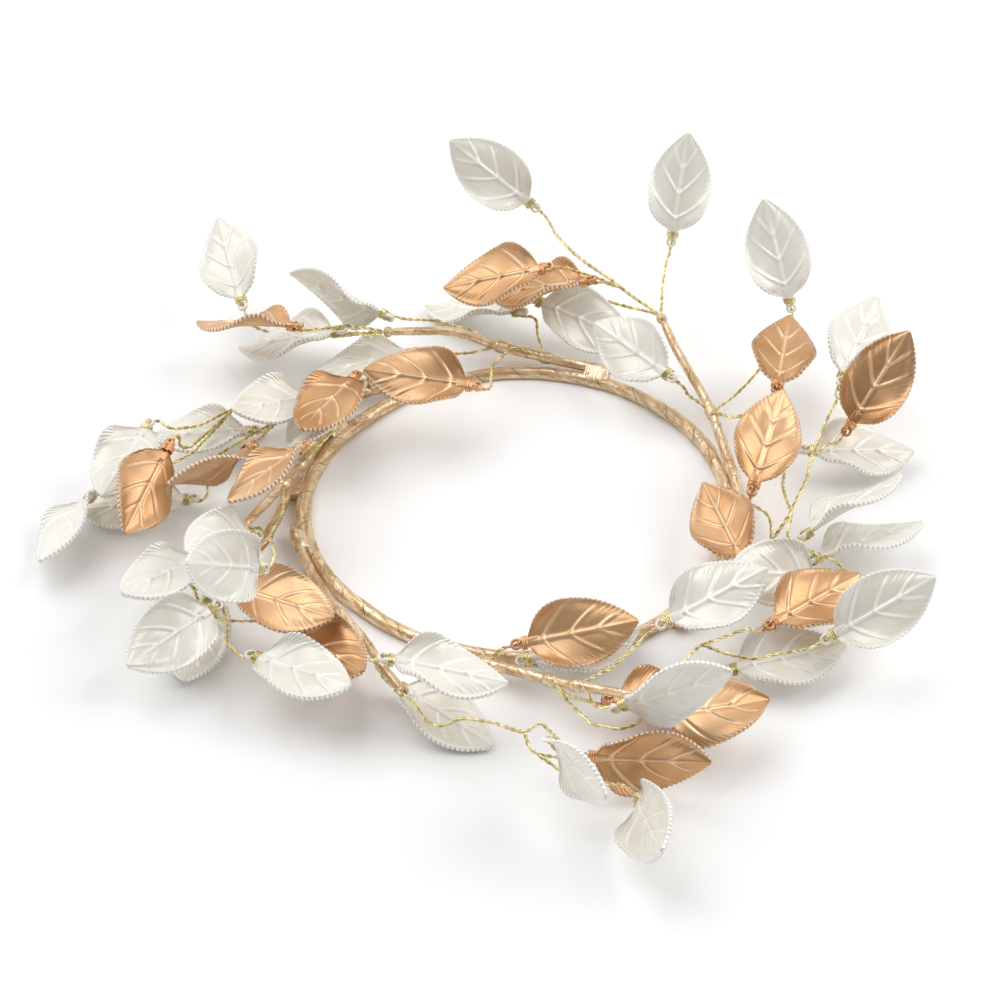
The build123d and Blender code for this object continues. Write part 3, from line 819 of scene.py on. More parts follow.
blade_station_shares = np.array([
    (0.0, 0.14, 0.03),
    (0.06, 0.5, 0.3),
    (0.16, 0.79, 0.86),
    (0.28, 0.945, 0.9),
    (0.42, 1.0, 0.4),
    (0.6, 0.92, -0.08),
    (0.78, 0.67, -0.26),
    (0.9, 0.38, -0.22),
    (1.0, 0.04, -0.06),
])
scallops = 27
rows_per_scallop = 5
scallop_depth = 0.3
half_column_shares = [0, 0.03, 0.06, 0.1, 0.16, 0.24, 0.33, 0.43, 0.54, 0.65, 0.75, 0.84, 0.91, 0.96, 1.0]
blade_thickness = 0.72
rim_thickness = 0.96
blade_reach_share = 0.99
vein_start_shares = [0.13, 0.38, 0.63]
vein_end_shares = [0.43, 0.72, 0.89]
vein_bend_share = 0.4
vein_height = 0.36
vein_width = 0.4
midrib_height = 0.42
midrib_width = 0.44
dip_share = 0.45
dip_spread = 3.2


def eased(at, stations, values):
    """A smooth line through a table, with the slopes of its neighbours."""
    slopes = np.gradient(values, stations)
    i = np.clip(np.searchsorted(stations, at, side="right") - 1, 0, len(stations) - 2)
    width = stations[i + 1] - stations[i]
    t = (at - stations[i]) / width
    return (
        values[i] * (2 * t ** 3 - 3 * t ** 2 + 1) + values[i + 1] * (3 * t ** 2 - 2 * t ** 3)
        + slopes[i] * width * (t ** 3 - 2 * t ** 2 + t) + slopes[i + 1] * width * (t ** 3 - t ** 2)
    )


def ramp(value, low, high):
    t = np.clip((value - low) / (high - low), 0, 1)
    return t * t * (3 - 2 * t)


def half_outline(share):
    """The blade's half width and its margin's lift at shares of its length."""
    stations, widths, lifts = blade_station_shares.T
    return eased(share, stations, widths) * leaf_width / 2, eased(share, stations, lifts) * margin_lift


def vein_line(start, end, share):
    """How far along the leaf a vein is, at shares of its way from the midrib to the margin."""
    return leaf_length * (start + (end - start) * (share * (1 - vein_bend_share) + share ** 2 * vein_bend_share))


def relief(x, y, edge):
    """The mould's height at a place on the blade, dipping beside each vein, and how near a crest it is."""
    far = np.abs(y)
    keep = 1 - ramp(edge, 0.8, 0.96)
    fade = 1 - 0.7 * ramp(x, 0.5 * leaf_length, leaf_length)
    crest = np.exp(-(y / midrib_width) ** 2) * fade
    height = midrib_height * crest - midrib_height * dip_share * np.exp(-(y / midrib_width / dip_spread) ** 2) * fade
    for start, end in zip(vein_start_shares, vein_end_shares):
        reach = half_outline(np.array([end]))[0][0]
        share = np.clip(far / reach, 0, 1)
        step = 0.02
        slope = (vein_line(start, end, share + step) - vein_line(start, end, share)) / (step * reach)
        distance = (x - vein_line(start, end, share)) / np.sqrt(1 + slope ** 2)
        strength = keep * (1 - 0.35 * share) * (far < reach)
        ridge = np.exp(-(distance / vein_width) ** 2) * strength
        dip = np.exp(-(distance / vein_width / dip_spread) ** 2) * strength * ramp(far, 0.2, 1.2)
        height = height + vein_height * ridge - vein_height * dip_share * dip
        crest = np.maximum(crest, ridge)
    return height, crest


def leaf_shells():
    """The blade, the stub and the eye of the mould, with the neck at the origin and the tip along X."""
    fine = np.linspace(0, 1, 2001)
    outline = half_outline(fine)[0]
    run = np.r_[0, np.cumsum(np.hypot(np.diff(fine * leaf_length), np.diff(outline)))]
    rows = scallops * rows_per_scallop + 1
    share = np.interp(np.linspace(0, run[-1], rows), run, fine)
    half_width, lift = half_outline(share)
    row = np.arange(rows)
    notch_shape = 1 - np.abs(np.sin(math.pi * row / rows_per_scallop)) ** 0.7
    notch = scallop_depth * notch_shape * ramp(row, 3, 12) * ramp(rows - row, 2, 24)
    slope = np.gradient(half_width, share * leaf_length)
    across = 1 / np.sqrt(1 + slope ** 2)
    edge_x = share * leaf_length + notch * slope * across
    edge_y = half_width - notch * across
    ends = np.array([0, *vein_end_shares, 1.0])
    middle_x = leaf_length * np.interp(share, ends, [0, *vein_start_shares, 1.0])
    half_columns = np.array(half_column_shares)
    column = np.r_[-half_columns[:0:-1], half_columns]
    far = np.abs(column)
    along_share = far * (1 - vein_bend_share) + far ** 2 * vein_bend_share
    x = middle_x[:, None] + (edge_x - middle_x)[:, None] * along_share
    y = edge_y[:, None] * column
    raised, crest = relief(x, y, np.broadcast_to(far, x.shape))
    local_lift = half_outline(np.clip(x / leaf_length, 0, 1))[1]
    middle = local_lift * (y / np.maximum(half_outline(np.clip(x / leaf_length, 0, 1))[0], 0.3)) ** 2
    middle = middle + (lift[:, None] - middle) * ramp(far, 0.7, 1.0)
    border = ramp(far, 0.88, 0.985)
    bead = 1 + 0.2 * (0.4 - notch_shape)[:, None] * border
    thick = (blade_thickness + (rim_thickness - blade_thickness) * border) * bead
    top = middle + thick / 2 + raised * (1 - border)
    bottom = middle - thick / 2 + 0.8 * raised * (1 - border)
    bulge = 0.1
    right = np.stack([edge_x, edge_y + bulge, lift], -1)
    left = np.stack([edge_x, -edge_y - bulge, lift], -1)
    upper = np.stack([x, y, top], -1)
    lower = np.stack([x, y, bottom], -1)[:, ::-1]
    loop = np.concatenate([upper, right[:, None], lower, left[:, None]], 1)
    columns = loop.shape[1]
    loop[..., 0] *= blade_reach_share
    points = loop.reshape(-1, 3)
    count = len(points)
    # How far out from the midrib, 1.15 on the rim's side: the copper finish reads real wear from it, the ivory finish a
    # painted highlight at the rim
    rim_nearness = np.broadcast_to(np.concatenate([far, [1.15], far[::-1], [1.15]]), loop.shape[:2])
    crests = np.concatenate([crest, crest[:, :1] * 0, crest[:, ::-1], crest[:, :1] * 0], 1)
    beads = np.broadcast_to(row[:, None] / rows_per_scallop, rim_nearness.shape)
    lay = np.stack([crests, beads, rim_nearness], -1).reshape(-1, 3)
    tips = np.array([loop[0].mean(0), loop[-1].mean(0)])
    first = np.r_[np.arange(columns)[::-1], count]
    last = np.r_[np.arange(columns) + (rows - 1) * columns, count + 1]
    faces = [grid_faces(rows, columns, False, True), np.vstack([cap_faces(first), cap_faces(last)])[:, ::-1]]
    blade = shell(np.vstack([points, tips]), faces, np.vstack([lay, [[0, 0, 0], [0, scallops, 1]]]), 0.5)
    return [blade, stub(), eye()]


def stub():
    """The rounded bar behind the neck."""
    stations = np.linspace(-2.1, 2.6, 12)
    angle = 2 * math.pi * np.arange(20) / 20
    fade = np.interp(stations, [-2.1, 1.0, 2.6], [1, 1, 0.72])
    y = neck_width / 2 * np.sign(np.cos(angle)) * np.abs(np.cos(angle)) ** 0.6
    z = stub_thickness / 2 * np.sign(np.sin(angle)) * np.abs(np.sin(angle)) ** 0.6
    points = np.stack(np.broadcast_arrays(stations[:, None], y * np.ones((12, 1)), z * fade[:, None]), -1).reshape(-1, 3)
    count = len(points)
    ends = np.array([[-2.1, 0, 0], [2.6, 0, 0]])
    first = np.r_[np.arange(20)[::-1], count]
    last = np.r_[np.arange(20) + 11 * 20, count + 1]
    faces = [grid_faces(12, 20, False, True), np.vstack([cap_faces(first), cap_faces(last)])[:, ::-1]]
    points = np.vstack([points, ends])
    return shell(points, faces, points * 0 + (0, 0, 0.8), 0.5)


def eye():
    """The ring that the wire passes through."""
    middle = (eye_diameter + eye_hole_diameter) / 4
    wall = (eye_diameter - eye_hole_diameter) / 4
    turn = 2 * math.pi * np.arange(24) / 24
    angle = 2 * math.pi * np.arange(12) / 12
    out = middle + wall * np.sign(np.cos(angle)) * np.abs(np.cos(angle)) ** 0.7
    high = stub_thickness / 2 * np.sign(np.sin(angle)) * np.abs(np.sin(angle)) ** 0.7
    x = -eye_reach + out * np.cos(turn)[:, None]
    y = out * np.sin(turn)[:, None]
    points = np.stack(np.broadcast_arrays(x, y, high), -1).reshape(-1, 3)
    return shell(points, [grid_faces(24, 12, True, True)], points * 0 + (0, 0, 0.8), 0.5)


# Finishes


def node(tree, kind, inputs=None, **settings):
    made = tree.nodes.new(kind)
    for key, value in settings.items():
        setattr(made, key, value)
    for key, value in (inputs or {}).items():
        if isinstance(value, bpy.types.NodeSocket):
            tree.links.new(value, made.inputs[key])
        else:
            made.inputs[key].default_value = value
    return made


def calc(tree, operation, *values):
    return node(tree, "ShaderNodeMath", dict(enumerate(values)), operation=operation).outputs[0]


def between(tree, value, low, high, start=0.0, end=1.0):
    """A soft step of a value from low to high."""
    inputs = {"Value": value, "From Min": low, "From Max": high, "To Min": start, "To Max": end}
    return node(tree, "ShaderNodeMapRange", inputs, interpolation_type="SMOOTHSTEP").outputs["Result"]


def mixed(tree, share, first, second):
    made = node(tree, "ShaderNodeMix", {0: share, 6: first, 7: second}, data_type="RGBA")
    return made.outputs[2]


def effect(name, inputs, outputs):
    """An empty shader node group with named sockets."""
    tree = bpy.data.node_groups.new(name, "ShaderNodeTree")
    for label, kind, value in inputs:
        socket = tree.interface.new_socket(name=label, in_out="INPUT", socket_type=kind)
        if value is not None:
            socket.default_value = value
    for label, kind in outputs:
        tree.interface.new_socket(name=label, in_out="OUTPUT", socket_type=kind)
    return tree, tree.nodes.new("NodeGroupInput").outputs, tree.nodes.new("NodeGroupOutput").inputs


def cloud_effect():
    """Soft patches: a mask that rises where the noise passes from Low to High."""
    tree, given, out = effect(
        "soft patches",
        [("Place", "NodeSocketVector", None), ("Scale", "NodeSocketFloat", 100.0), ("Detail", "NodeSocketFloat", 3.0),
         ("Low", "NodeSocketFloat", 0.4), ("High", "NodeSocketFloat", 0.6)],
        [("Mask", "NodeSocketFloat")],
    )
    noise = node(tree, "ShaderNodeTexNoise", {"Vector": given["Place"], "Scale": given["Scale"], "Detail": given["Detail"]})
    tree.links.new(between(tree, noise.outputs["Fac"], given["Low"], given["High"]), out["Mask"])
    return tree


def lap_effect():
    """Laps of wound tape: a seam at each turn of the spiral, and creases that follow the winding."""
    tree, given, out = effect(
        "wound laps",
        [("Lay", "NodeSocketVector", None), ("Pitch", "NodeSocketFloat", 4.0), ("Seam Width", "NodeSocketFloat", 0.05)],
        [("Seam", "NodeSocketFloat"), ("Crease", "NodeSocketFloat"), ("Tint", "NodeSocketFloat")],
    )
    parts = node(tree, "ShaderNodeSeparateXYZ", {0: given["Lay"]}).outputs
    turn = calc(tree, "ARCTAN2", parts["Z"], parts["Y"])
    share = calc(tree, "DIVIDE", turn, 2 * math.pi)
    lap = calc(tree, "FRACT", calc(tree, "ADD", calc(tree, "DIVIDE", parts["X"], given["Pitch"]), share))
    wobble = node(tree, "ShaderNodeTexNoise", {"Vector": given["Lay"], "Scale": 0.8}).outputs["Fac"]
    width = calc(tree, "MULTIPLY", given["Seam Width"], wobble)
    seam = calc(tree, "SUBTRACT", 1.0, between(tree, lap, 0.0, width))
    fall = calc(tree, "MULTIPLY", parts["X"], 0.1)
    wound = node(tree, "ShaderNodeVectorRotate", {"Vector": given["Lay"], "Axis": (1, 0, 0), "Angle": fall}).outputs[0]
    streak = node(tree, "ShaderNodeVectorMath", {0: wound, 1: (0.22, 1.1, 1.1)}, operation="MULTIPLY").outputs[0]
    crossed = node(tree, "ShaderNodeVectorMath", {0: wound, 1: (1.0, 0.45, 0.45)}, operation="MULTIPLY").outputs[0]
    tint = node(tree, "ShaderNodeTexNoise", {"Vector": streak, "Scale": 0.7, "Detail": 3.0})
    fold = node(tree, "ShaderNodeTexNoise", {"Vector": streak, "Scale": 0.9, "Detail": 2.0, "Distortion": 0.6})
    ridge = between(tree, calc(tree, "ABSOLUTE", calc(tree, "SUBTRACT", fold.outputs["Fac"], 0.5)), 0.0, 0.03)
    snap = node(tree, "ShaderNodeTexNoise", {"Vector": crossed, "Scale": 0.8, "Detail": 2.0, "Distortion": 1.0})
    crack = between(tree, calc(tree, "ABSOLUTE", calc(tree, "SUBTRACT", snap.outputs["Fac"], 0.5)), 0.0, 0.022)
    tree.links.new(seam, out["Seam"])
    tree.links.new(calc(tree, "MINIMUM", ridge, crack), out["Crease"])
    tree.links.new(tint.outputs["Fac"], out["Tint"])
    return tree


def bead_effect():
    """The beads of a leaf's rim, seen from the side: a mask on the beads and one in the notches between."""
    tree, given, out = effect(
        "rim beads", [("Lay", "NodeSocketVector", None)], [("Bead", "NodeSocketFloat"), ("Notch", "NodeSocketFloat")],
    )
    parts = node(tree, "ShaderNodeSeparateXYZ", {0: given["Lay"]}).outputs
    wave = calc(tree, "ABSOLUTE", calc(tree, "SINE", calc(tree, "MULTIPLY", parts["Y"], math.pi)))
    side = between(tree, parts["Z"], 0.99, 1.05)
    body = between(tree, wave, 0.4, 0.6)
    tree.links.new(calc(tree, "MULTIPLY", body, side), out["Bead"])
    tree.links.new(calc(tree, "MULTIPLY", calc(tree, "SUBTRACT", 1.0, body), side), out["Notch"])
    return tree


patches = cloud_effect()
laps = lap_effect()
rim_beads = bead_effect()


# Geometry Nodes


def modelling_tree(name, inputs):
    """An empty Geometry Nodes tree with named inputs, and the end of it: real geometry with its material."""
    tree = bpy.data.node_groups.new(name, "GeometryNodeTree")
    tree.interface.new_socket(name="Geometry", in_out="OUTPUT", socket_type="NodeSocketGeometry")
    for label, kind in [("Geometry", "NodeSocketGeometry")] + inputs + [("Finish", "NodeSocketMaterial")]:
        tree.interface.new_socket(name=label, in_out="INPUT", socket_type=kind)
    given = tree.nodes.new("NodeGroupInput").outputs
    joined = node(tree, "GeometryNodeJoinGeometry")
    real = node(tree, "GeometryNodeRealizeInstances", {"Geometry": joined.outputs["Geometry"]})
    done = node(tree, "GeometryNodeSetMaterial", {"Geometry": real.outputs["Geometry"], "Material": given["Finish"]})
    tree.links.new(done.outputs["Geometry"], tree.nodes.new("NodeGroupOutput").inputs["Geometry"])
    return tree, given, joined.inputs["Geometry"]


def attribute(tree, label, kind):
    return node(tree, "GeometryNodeInputNamedAttribute", {"Name": label}, data_type=kind).outputs["Attribute"]


def twisted_wires_tree():
    """Two strands twisted round each other along each line."""
    tree, given, ready = modelling_tree("twisted wires", [
        ("Twist Pitch", "NodeSocketFloat"), ("Strand Offset", "NodeSocketFloat"),
        ("Strand Radius", "NodeSocketFloat"), ("Strand Sides", "NodeSocketInt"),
    ])
    line = node(tree, "GeometryNodeMeshToCurve", {"Mesh": given["Geometry"]}).outputs["Curve"]
    run = node(tree, "GeometryNodeSplineParameter").outputs["Length"]
    across = node(tree, "GeometryNodeInputNormal").outputs["Normal"]
    along = node(tree, "GeometryNodeInputTangent").outputs["Tangent"]
    beside = node(tree, "ShaderNodeVectorMath", {0: along, 1: across}, operation="CROSS_PRODUCT").outputs["Vector"]
    turns = calc(tree, "DIVIDE", run, given["Twist Pitch"])
    twist = calc(tree, "ADD", calc(tree, "MULTIPLY", turns, 2 * math.pi), attribute(tree, "phase", "FLOAT"))
    inputs = {"Resolution": given["Strand Sides"], "Radius": given["Strand Radius"]}
    profile = node(tree, "GeometryNodeCurvePrimitiveCircle", inputs).outputs["Curve"]
    for start in (0.0, math.pi):
        angle = calc(tree, "ADD", twist, start)
        shift = None
        for way, share in ((across, "COSINE"), (beside, "SINE")):
            reach = calc(tree, "MULTIPLY", calc(tree, share, angle), given["Strand Offset"])
            part = node(tree, "ShaderNodeVectorMath", {0: way, "Scale": reach}, operation="SCALE").outputs["Vector"]
            shift = part if shift is None else node(tree, "ShaderNodeVectorMath", {0: shift, 1: part}).outputs["Vector"]
        strand = node(tree, "GeometryNodeSetPosition", {"Geometry": line, "Offset": shift}).outputs["Geometry"]
        inputs = {"Curve": strand, "Profile Curve": profile, "Fill Caps": True}
        tree.links.new(node(tree, "GeometryNodeCurveToMesh", inputs).outputs["Mesh"], ready)
    return tree


def moulded_leaves_tree():
    """A leaf of the mould at each neck, turned as its point says."""
    tree, given, ready = modelling_tree("moulded leaves", [("Mould", "NodeSocketObject")])
    mould = node(tree, "GeometryNodeObjectInfo", {"Object": given["Mould"]}).outputs["Geometry"]
    inputs = {"Points": given["Geometry"], "Instance": mould, "Rotation": attribute(tree, "turn", "QUATERNION")}
    tree.links.new(node(tree, "GeometryNodeInstanceOnPoints", inputs).outputs["Instances"], ready)
    return tree


def modelled(name, tree, source, values):
    """The plain mesh object that a tree makes of a source mesh."""
    holder = bpy.data.objects.new(name, source)
    bpy.context.scene.collection.objects.link(holder)
    modifier = holder.modifiers.new("model", "NODES")
    modifier.node_group = tree
    for item in tree.interface.items_tree:
        if item.in_out == "INPUT" and item.name in values:
            modifier[item.identifier] = values[item.name]
    graph = bpy.context.evaluated_depsgraph_get()
    mesh = bpy.data.meshes.new_from_object(holder.evaluated_get(graph), preserve_all_data_layers=True, depsgraph=graph)
    bpy.data.objects.remove(holder)
    bpy.data.meshes.remove(source)
    mesh.polygons.foreach_set("use_smooth", np.ones(len(mesh.polygons), bool))
    piece = bpy.data.objects.new(name, mesh)
    bpy.context.scene.collection.objects.link(piece)
    return piece


def material(name):
    made = bpy.data.materials.new(name)
    made.use_nodes = True
    tree = made.node_tree
    tree.nodes.clear()
    shader = tree.nodes.new("ShaderNodeBsdfPrincipled")
    output = tree.nodes.new("ShaderNodeOutputMaterial")
    tree.links.new(shader.outputs[0], output.inputs["Surface"])
    return made, tree, shader


def effect_node(tree, group, inputs):
    made = tree.nodes.new("ShaderNodeGroup")
    made.node_tree = group
    for key, value in inputs.items():
        if isinstance(value, bpy.types.NodeSocket):
            tree.links.new(value, made.inputs[key])
        else:
            made.inputs[key].default_value = value
    return made.outputs


def patchy(tree, where, scale, low, high, detail=3.0):
    inputs = {"Place": where, "Scale": scale, "Detail": detail, "Low": low, "High": high}
    return effect_node(tree, patches, inputs)["Mask"]


def lay_of(tree):
    return node(tree, "ShaderNodeAttribute", attribute_name="lay").outputs["Vector"]


def tone_of(tree):
    return node(tree, "ShaderNodeAttribute", attribute_name="tone").outputs["Fac"]


def object_place(tree):
    return node(tree, "ShaderNodeTexCoord").outputs["Object"]


def set_sockets(shader, **values):
    for key, value in values.items():
        shader.inputs[key.replace("_", " ")].default_value = value


def raise_normal(tree, shader, height, distance, strength=1.0):
    bump = node(tree, "ShaderNodeBump", {"Height": height, "Distance": distance, "Strength": strength})
    tree.links.new(bump.outputs[0], shader.inputs["Normal"])


ivory_cream = (0.79, 0.745, 0.64, 1)
ivory_light = (0.87, 0.855, 0.79, 1)
# Painted highlight colour for the ivory leaves' veins and rim
ivory_vein_rim_highlight = (0.95, 0.945, 0.92, 1)
# Painted shade colour for the notches between an ivory leaf's rim beads
ivory_notch_shade = (0.60, 0.56, 0.46, 1)
copper_light = (0.78, 0.51, 0.29, 1)
copper_deep = (0.52, 0.27, 0.115, 1)
# Painted highlight colour for the copper leaves' veins
copper_vein_highlight = (0.97, 0.74, 0.50, 1)
copper_worn = (0.60, 0.57, 0.56, 1)
copper_bead = (0.93, 0.80, 0.62, 1)
copper_notch = (0.45, 0.20, 0.07, 1)
tape_light = (0.98, 0.80, 0.56, 1)
tape_deep = (0.68, 0.46, 0.25, 1)
# Dark colour of the seams where the laps meet, also used as painted shade along the creases
tape_seam_and_crease_shade = (0.12, 0.06, 0.025, 1)
wire_gold = (0.88, 0.76, 0.42, 1)
wire_olive = (0.52, 0.44, 0.19, 1)
wire_copper = (0.80, 0.46, 0.24, 1)
steel_light = (0.55, 0.54, 0.52, 1)
steel_dark = (0.30, 0.29, 0.28, 1)


def ivory_lacquer():
    """Pearly ivory: creamier in the fields, with a painted highlight that makes it paler along the veins and the rim,
    and painted shade in the notches between the rim's beads.
    """
    made, tree, shader = material("ivory pearl lacquer")
    where = object_place(tree)
    parts = node(tree, "ShaderNodeSeparateXYZ", {0: lay_of(tree)}).outputs
    cloud = patchy(tree, where, 60.0, 0.35, 0.68, 1.0)
    shade = calc(tree, "ADD", calc(tree, "MULTIPLY", cloud, 0.4), calc(tree, "MULTIPLY", tone_of(tree), 0.6))
    body = mixed(tree, shade, ivory_cream, ivory_light)
    # Painted highlight: the vein crests and the rim are mixed towards a paler colour
    pale = calc(tree, "MAXIMUM", between(tree, parts["Z"], 0.88, 1.05), between(tree, parts["X"], 0.1, 0.9, 0.0, 0.75))
    beads = effect_node(tree, rim_beads, {"Lay": lay_of(tree)})
    body = mixed(tree, pale, body, ivory_vein_rim_highlight)
    # Painted shade: the notches between the rim's beads are mixed towards a darker colour
    tree.links.new(mixed(tree, calc(tree, "MULTIPLY", beads["Notch"], 0.7), body, ivory_notch_shade), shader.inputs["Base Color"])
    tree.links.new(between(tree, cloud, 0.0, 1.0, 0.26, 0.33), shader.inputs["Roughness"])
    set_sockets(shader, Metallic=0.08, IOR=1.52, Coat_Weight=0.4, Coat_Roughness=0.15, Subsurface_Weight=0.06)
    set_sockets(shader, Subsurface_Radius=(0.0016, 0.0014, 0.0011), Subsurface_Scale=1.0)
    return made


def copper_paint():
    """Satin copper paint: deeper in the fields, with a painted highlight along the veins, worn pale at the rim and in
    spots.
    """
    made, tree, shader = material("satin copper paint")
    where = object_place(tree)
    parts = node(tree, "ShaderNodeSeparateXYZ", {0: lay_of(tree)}).outputs
    cloud = patchy(tree, where, 70.0, 0.32, 0.7, 1.0)
    shade = calc(tree, "ADD", calc(tree, "MULTIPLY", cloud, 0.5), calc(tree, "MULTIPLY", tone_of(tree), 0.5))
    body = mixed(tree, shade, copper_deep, copper_light)
    # Painted highlight: the vein crests are mixed towards a brighter copper
    body = mixed(tree, between(tree, parts["X"], 0.2, 0.9, 0.0, 0.6), body, copper_vein_highlight)
    spots = patchy(tree, where, 330.0, 0.66, 0.72, 5.0)
    edge_spots = patchy(tree, where, 420.0, 0.50, 0.58, 4.0)
    rim = calc(tree, "MULTIPLY", between(tree, parts["Z"], 0.86, 1.04), edge_spots)
    beads = effect_node(tree, rim_beads, {"Lay": lay_of(tree)})
    bare = calc(tree, "MAXIMUM", calc(tree, "MULTIPLY", rim, 0.75), calc(tree, "MULTIPLY", spots, 0.4))
    body = mixed(tree, bare, body, copper_worn)
    body = mixed(tree, calc(tree, "MULTIPLY", beads["Bead"], 0.7), body, copper_bead)
    body = mixed(tree, calc(tree, "MULTIPLY", beads["Notch"], 0.8), body, copper_notch)
    bare = calc(tree, "MAXIMUM", bare, calc(tree, "MULTIPLY", beads["Bead"], 0.6))
    tree.links.new(body, shader.inputs["Base Color"])
    grain = patchy(tree, where, 2400.0, 0.3, 0.7)
    tree.links.new(between(tree, grain, 0.0, 1.0, 0.36, 0.48), shader.inputs["Roughness"])
    tree.links.new(between(tree, bare, 0.0, 1.0, 0.9, 0.25), shader.inputs["Metallic"])
    raise_normal(tree, shader, grain, 0.000005)
    return made


def tape_finish():
    """Champagne foil tape: wound in laps, creased, dark where the laps meet, with painted shade along the creases."""
    made, tree, shader = material("champagne foil tape")
    found = effect_node(tree, laps, {"Lay": lay_of(tree), "Pitch": tone_of(tree), "Seam Width": 0.09})
    where = object_place(tree)
    # Painted shade: the body colour is darkened along the creases
    tint = calc(tree, "MULTIPLY", between(tree, found["Tint"], 0.35, 0.68), between(tree, found["Crease"], 0.0, 0.35, 0.7, 1.0))
    body = mixed(tree, tint, tape_deep, tape_light)
    broken = patchy(tree, where, 300.0, 0.40, 0.55)
    seam = calc(tree, "MULTIPLY", found["Seam"], between(tree, broken, 0.0, 1.0, 0.35, 1.0))
    # Painted shade: dark lines along the creases, added to the seams
    crack = calc(tree, "SUBTRACT", 0.45, calc(tree, "MULTIPLY", found["Crease"], 0.45))
    seam = calc(tree, "MAXIMUM", seam, calc(tree, "MULTIPLY", crack, broken))
    tree.links.new(mixed(tree, seam, body, tape_seam_and_crease_shade), shader.inputs["Base Color"])
    tree.links.new(between(tree, found["Tint"], 0.3, 0.7, 0.38, 0.28), shader.inputs["Roughness"])
    tree.links.new(between(tree, seam, 0.0, 1.0, 0.85, 0.1), shader.inputs["Metallic"])
    raise_normal(tree, shader, found["Crease"], 0.00009)
    return made


def wire_finish():
    """Gilt wire with an olive cast, and copper paint on it where it ties a copper leaf."""
    made, tree, shader = material("gilt craft wire")
    where = object_place(tree)
    body = mixed(tree, patchy(tree, where, 320.0, 0.38, 0.62), wire_olive, wire_gold)
    tree.links.new(mixed(tree, tone_of(tree), body, wire_copper), shader.inputs["Base Color"])
    tree.links.new(between(tree, patchy(tree, where, 900.0, 0.3, 0.7), 0.0, 1.0, 0.2, 0.34), shader.inputs["Roughness"])
    set_sockets(shader, Metallic=0.92)
    return made


def steel_finish():
    """Plain drawn steel wire."""
    made, tree, shader = material("drawn steel wire")
    where = object_place(tree)
    body = mixed(tree, patchy(tree, where, 500.0, 0.35, 0.65), steel_dark, steel_light)
    tree.links.new(body, shader.inputs["Base Color"])
    tree.links.new(between(tree, patchy(tree, where, 1500.0, 0.3, 0.7), 0.0, 1.0, 0.28, 0.45), shader.inputs["Roughness"])
    set_sockets(shader, Metallic=1.0)
    return made


# The stage


floor_white = (0.97, 0.97, 0.97, 1)
floor_half = 3.0
dark_side = Vector((0.25, -0.62, 0.74)).normalized()
floor_drop = -0.00005


def add_floor():
    mesh = bpy.data.meshes.new("floor")
    corners = [(-floor_half, -floor_half), (floor_half, -floor_half), (floor_half, floor_half), (-floor_half, floor_half)]
    mesh.from_pydata([(x, y, floor_drop) for x, y in corners], [], [(0, 1, 2, 3)])
    made, tree, shader = material("pale floor")
    body = mixed(tree, patchy(tree, object_place(tree), 3.0, 0.3, 0.7), floor_white, (0.96, 0.96, 0.96, 1))
    tree.links.new(body, shader.inputs["Base Color"])
    set_sockets(shader, Roughness=0.9, Specular_IOR_Level=0.1)
    mesh.materials.append(made)
    floor = bpy.data.objects.new("floor", mesh)
    bpy.context.scene.collection.objects.link(floor)


def add_lamp(name, position, size, power):
    data = bpy.data.lights.new(name, "AREA")
    data.shape = "SQUARE"
    data.size = size
    data.energy = power
    lamp = bpy.data.objects.new(name, data)
    bpy.context.scene.collection.objects.link(lamp)
    lamp.location = position
    lamp.rotation_mode = "QUATERNION"
    lamp.rotation_quaternion = (-Vector(position)).to_track_quat("-Z", "Y")


def add_world():
    """A pale studio: bright round the horizon and behind, dark over the viewer's side."""
    world = bpy.data.worlds.new("studio")
    bpy.context.scene.world = world
    world.use_nodes = True
    tree = world.node_tree
    tree.nodes.clear()
    way = node(tree, "ShaderNodeTexCoord").outputs["Generated"]
    over = node(tree, "ShaderNodeVectorMath", {0: way, 1: dark_side}, operation="DOT_PRODUCT").outputs["Value"]
    level = between(tree, over, 0.1, 0.85, 1.0, 0.3)
    back = node(tree, "ShaderNodeBackground", {"Color": (1, 1, 1, 1), "Strength": level})
    output = tree.nodes.new("ShaderNodeOutputWorld")
    tree.links.new(back.outputs[0], output.inputs["Surface"])


add_floor()
add_world()
add_lamp("key softbox", (-0.4, 0.2, 0.95), 0.9, 4.4)
add_lamp("fill softbox", (0.75, 0.0, 0.75), 0.7, 4.4)
bpy.context.scene.view_settings.view_transform = "Standard"


# The pieces


def finish(piece, slot, *nodes):
    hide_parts(*nodes)


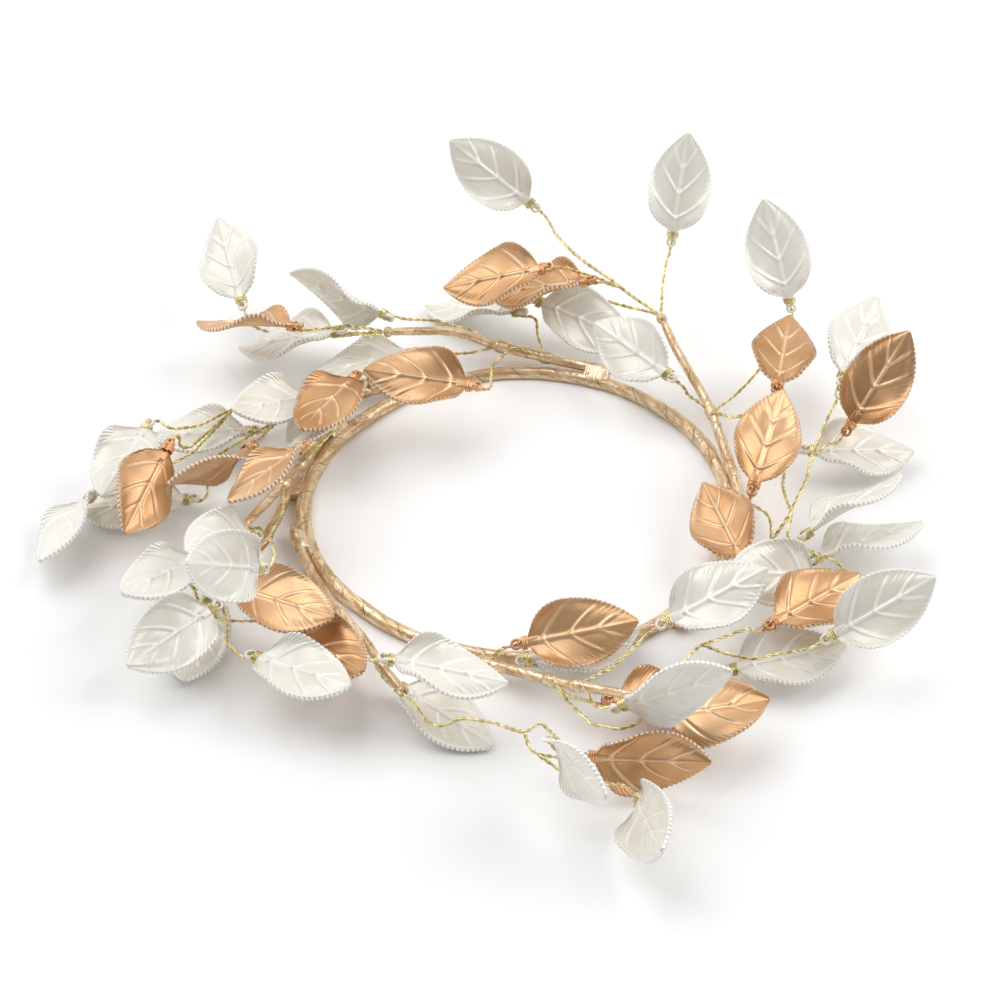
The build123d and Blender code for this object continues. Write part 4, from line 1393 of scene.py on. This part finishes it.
tape = tape_finish()
wire = wire_finish()
ivory = ivory_lacquer()
copper = copper_paint()
steel = steel_finish()
mould = make("leaf_mould", leaf_shells(), ivory)
mould.data.attributes.remove(mould.data.attributes["tone"])
wires_tree = twisted_wires_tree()
leaves_tree = moulded_leaves_tree()
strand_values = {
    "Twist Pitch": twist_pitch * millimetre, "Strand Offset": strand_offset * millimetre,
    "Strand Radius": strand_radius * millimetre, "Strand Sides": strand_sides, "Finish": wire,
}
ring_course = spaced(ring_line(), wrap_step, closed=True)

ring_piece = make("ring_wrap", [ring_wrap(ring_course)], tape)
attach(ring_piece, "ring")
finish(ring_piece, "tape", "ring_tape")

bands = make("tape_bands", [band(spray, ring_course, 50 + n) for n, spray in enumerate(sprays.values())], tape)
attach(bands, "ring")
finish(bands, "tape", "tape_bindings")

for number, (name, spray) in enumerate(sprays.items()):
    body = name + "_spray"
    rng = np.random.default_rng(100 + number)
    wrap = make(name + "_stem_wrap", [stem_wrap(spray, ring_course, 20 + number)], tape)
    finish(wrap, "tape", name + "_stem_tape", "bound_stem_tapes")
    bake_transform(wrap)
    held = make(name + "_knots", knots(spray, 70 + 5 * number), tape)
    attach(held, body)
    finish(held, "tape", name + "_twigs")
    lines, ties = [], []
    leaves = spray_leaves(spray)
    for leaf_name, route in twig_routes(spray).items():
        leaf = leaves[leaf_name]
        painted = leaf in spray.copper
        lines.append(twig_line([np.array(p) for p in route], rng.uniform(0, 2 * math.pi), painted))
        ties.append(leaf_winding(leaf_frame(leaf), painted, rng))
    wires = modelled(name + "_twisted_wires", wires_tree, line_mesh(name + "_lines", lines), strand_values)
    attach(wires, body)
    finish(wires, "gold_wire", name + "_twigs")
    tied = make(name + "_leaf_ties", ties, wire)
    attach(tied, body)
    finish(tied, "gold_wire", name + "_twigs")
    for kind, group, lacquer, slot in (
        ("ivory", spray.ivory, ivory, "ivory_leaf"), ("copper", spray.copper, copper, "copper_leaf"),
    ):
        necks = point_mesh(name + "_necks", group, [rng.uniform(0, 1) for leaf in group])
        piece = modelled(name + "_" + kind + "_moulded_leaves", leaves_tree, necks, {"Mould": mould, "Finish": lacquer})
        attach(piece, body)
        finish(piece, slot, name + "_" + kind + "_leaves")

bpy.data.objects.remove(mould)

for node_name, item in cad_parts.items():
    if node_name.endswith("_wire") or node_name.endswith("_wires"):
        for material_slot in item.material_slots:
            material_slot.material = steel
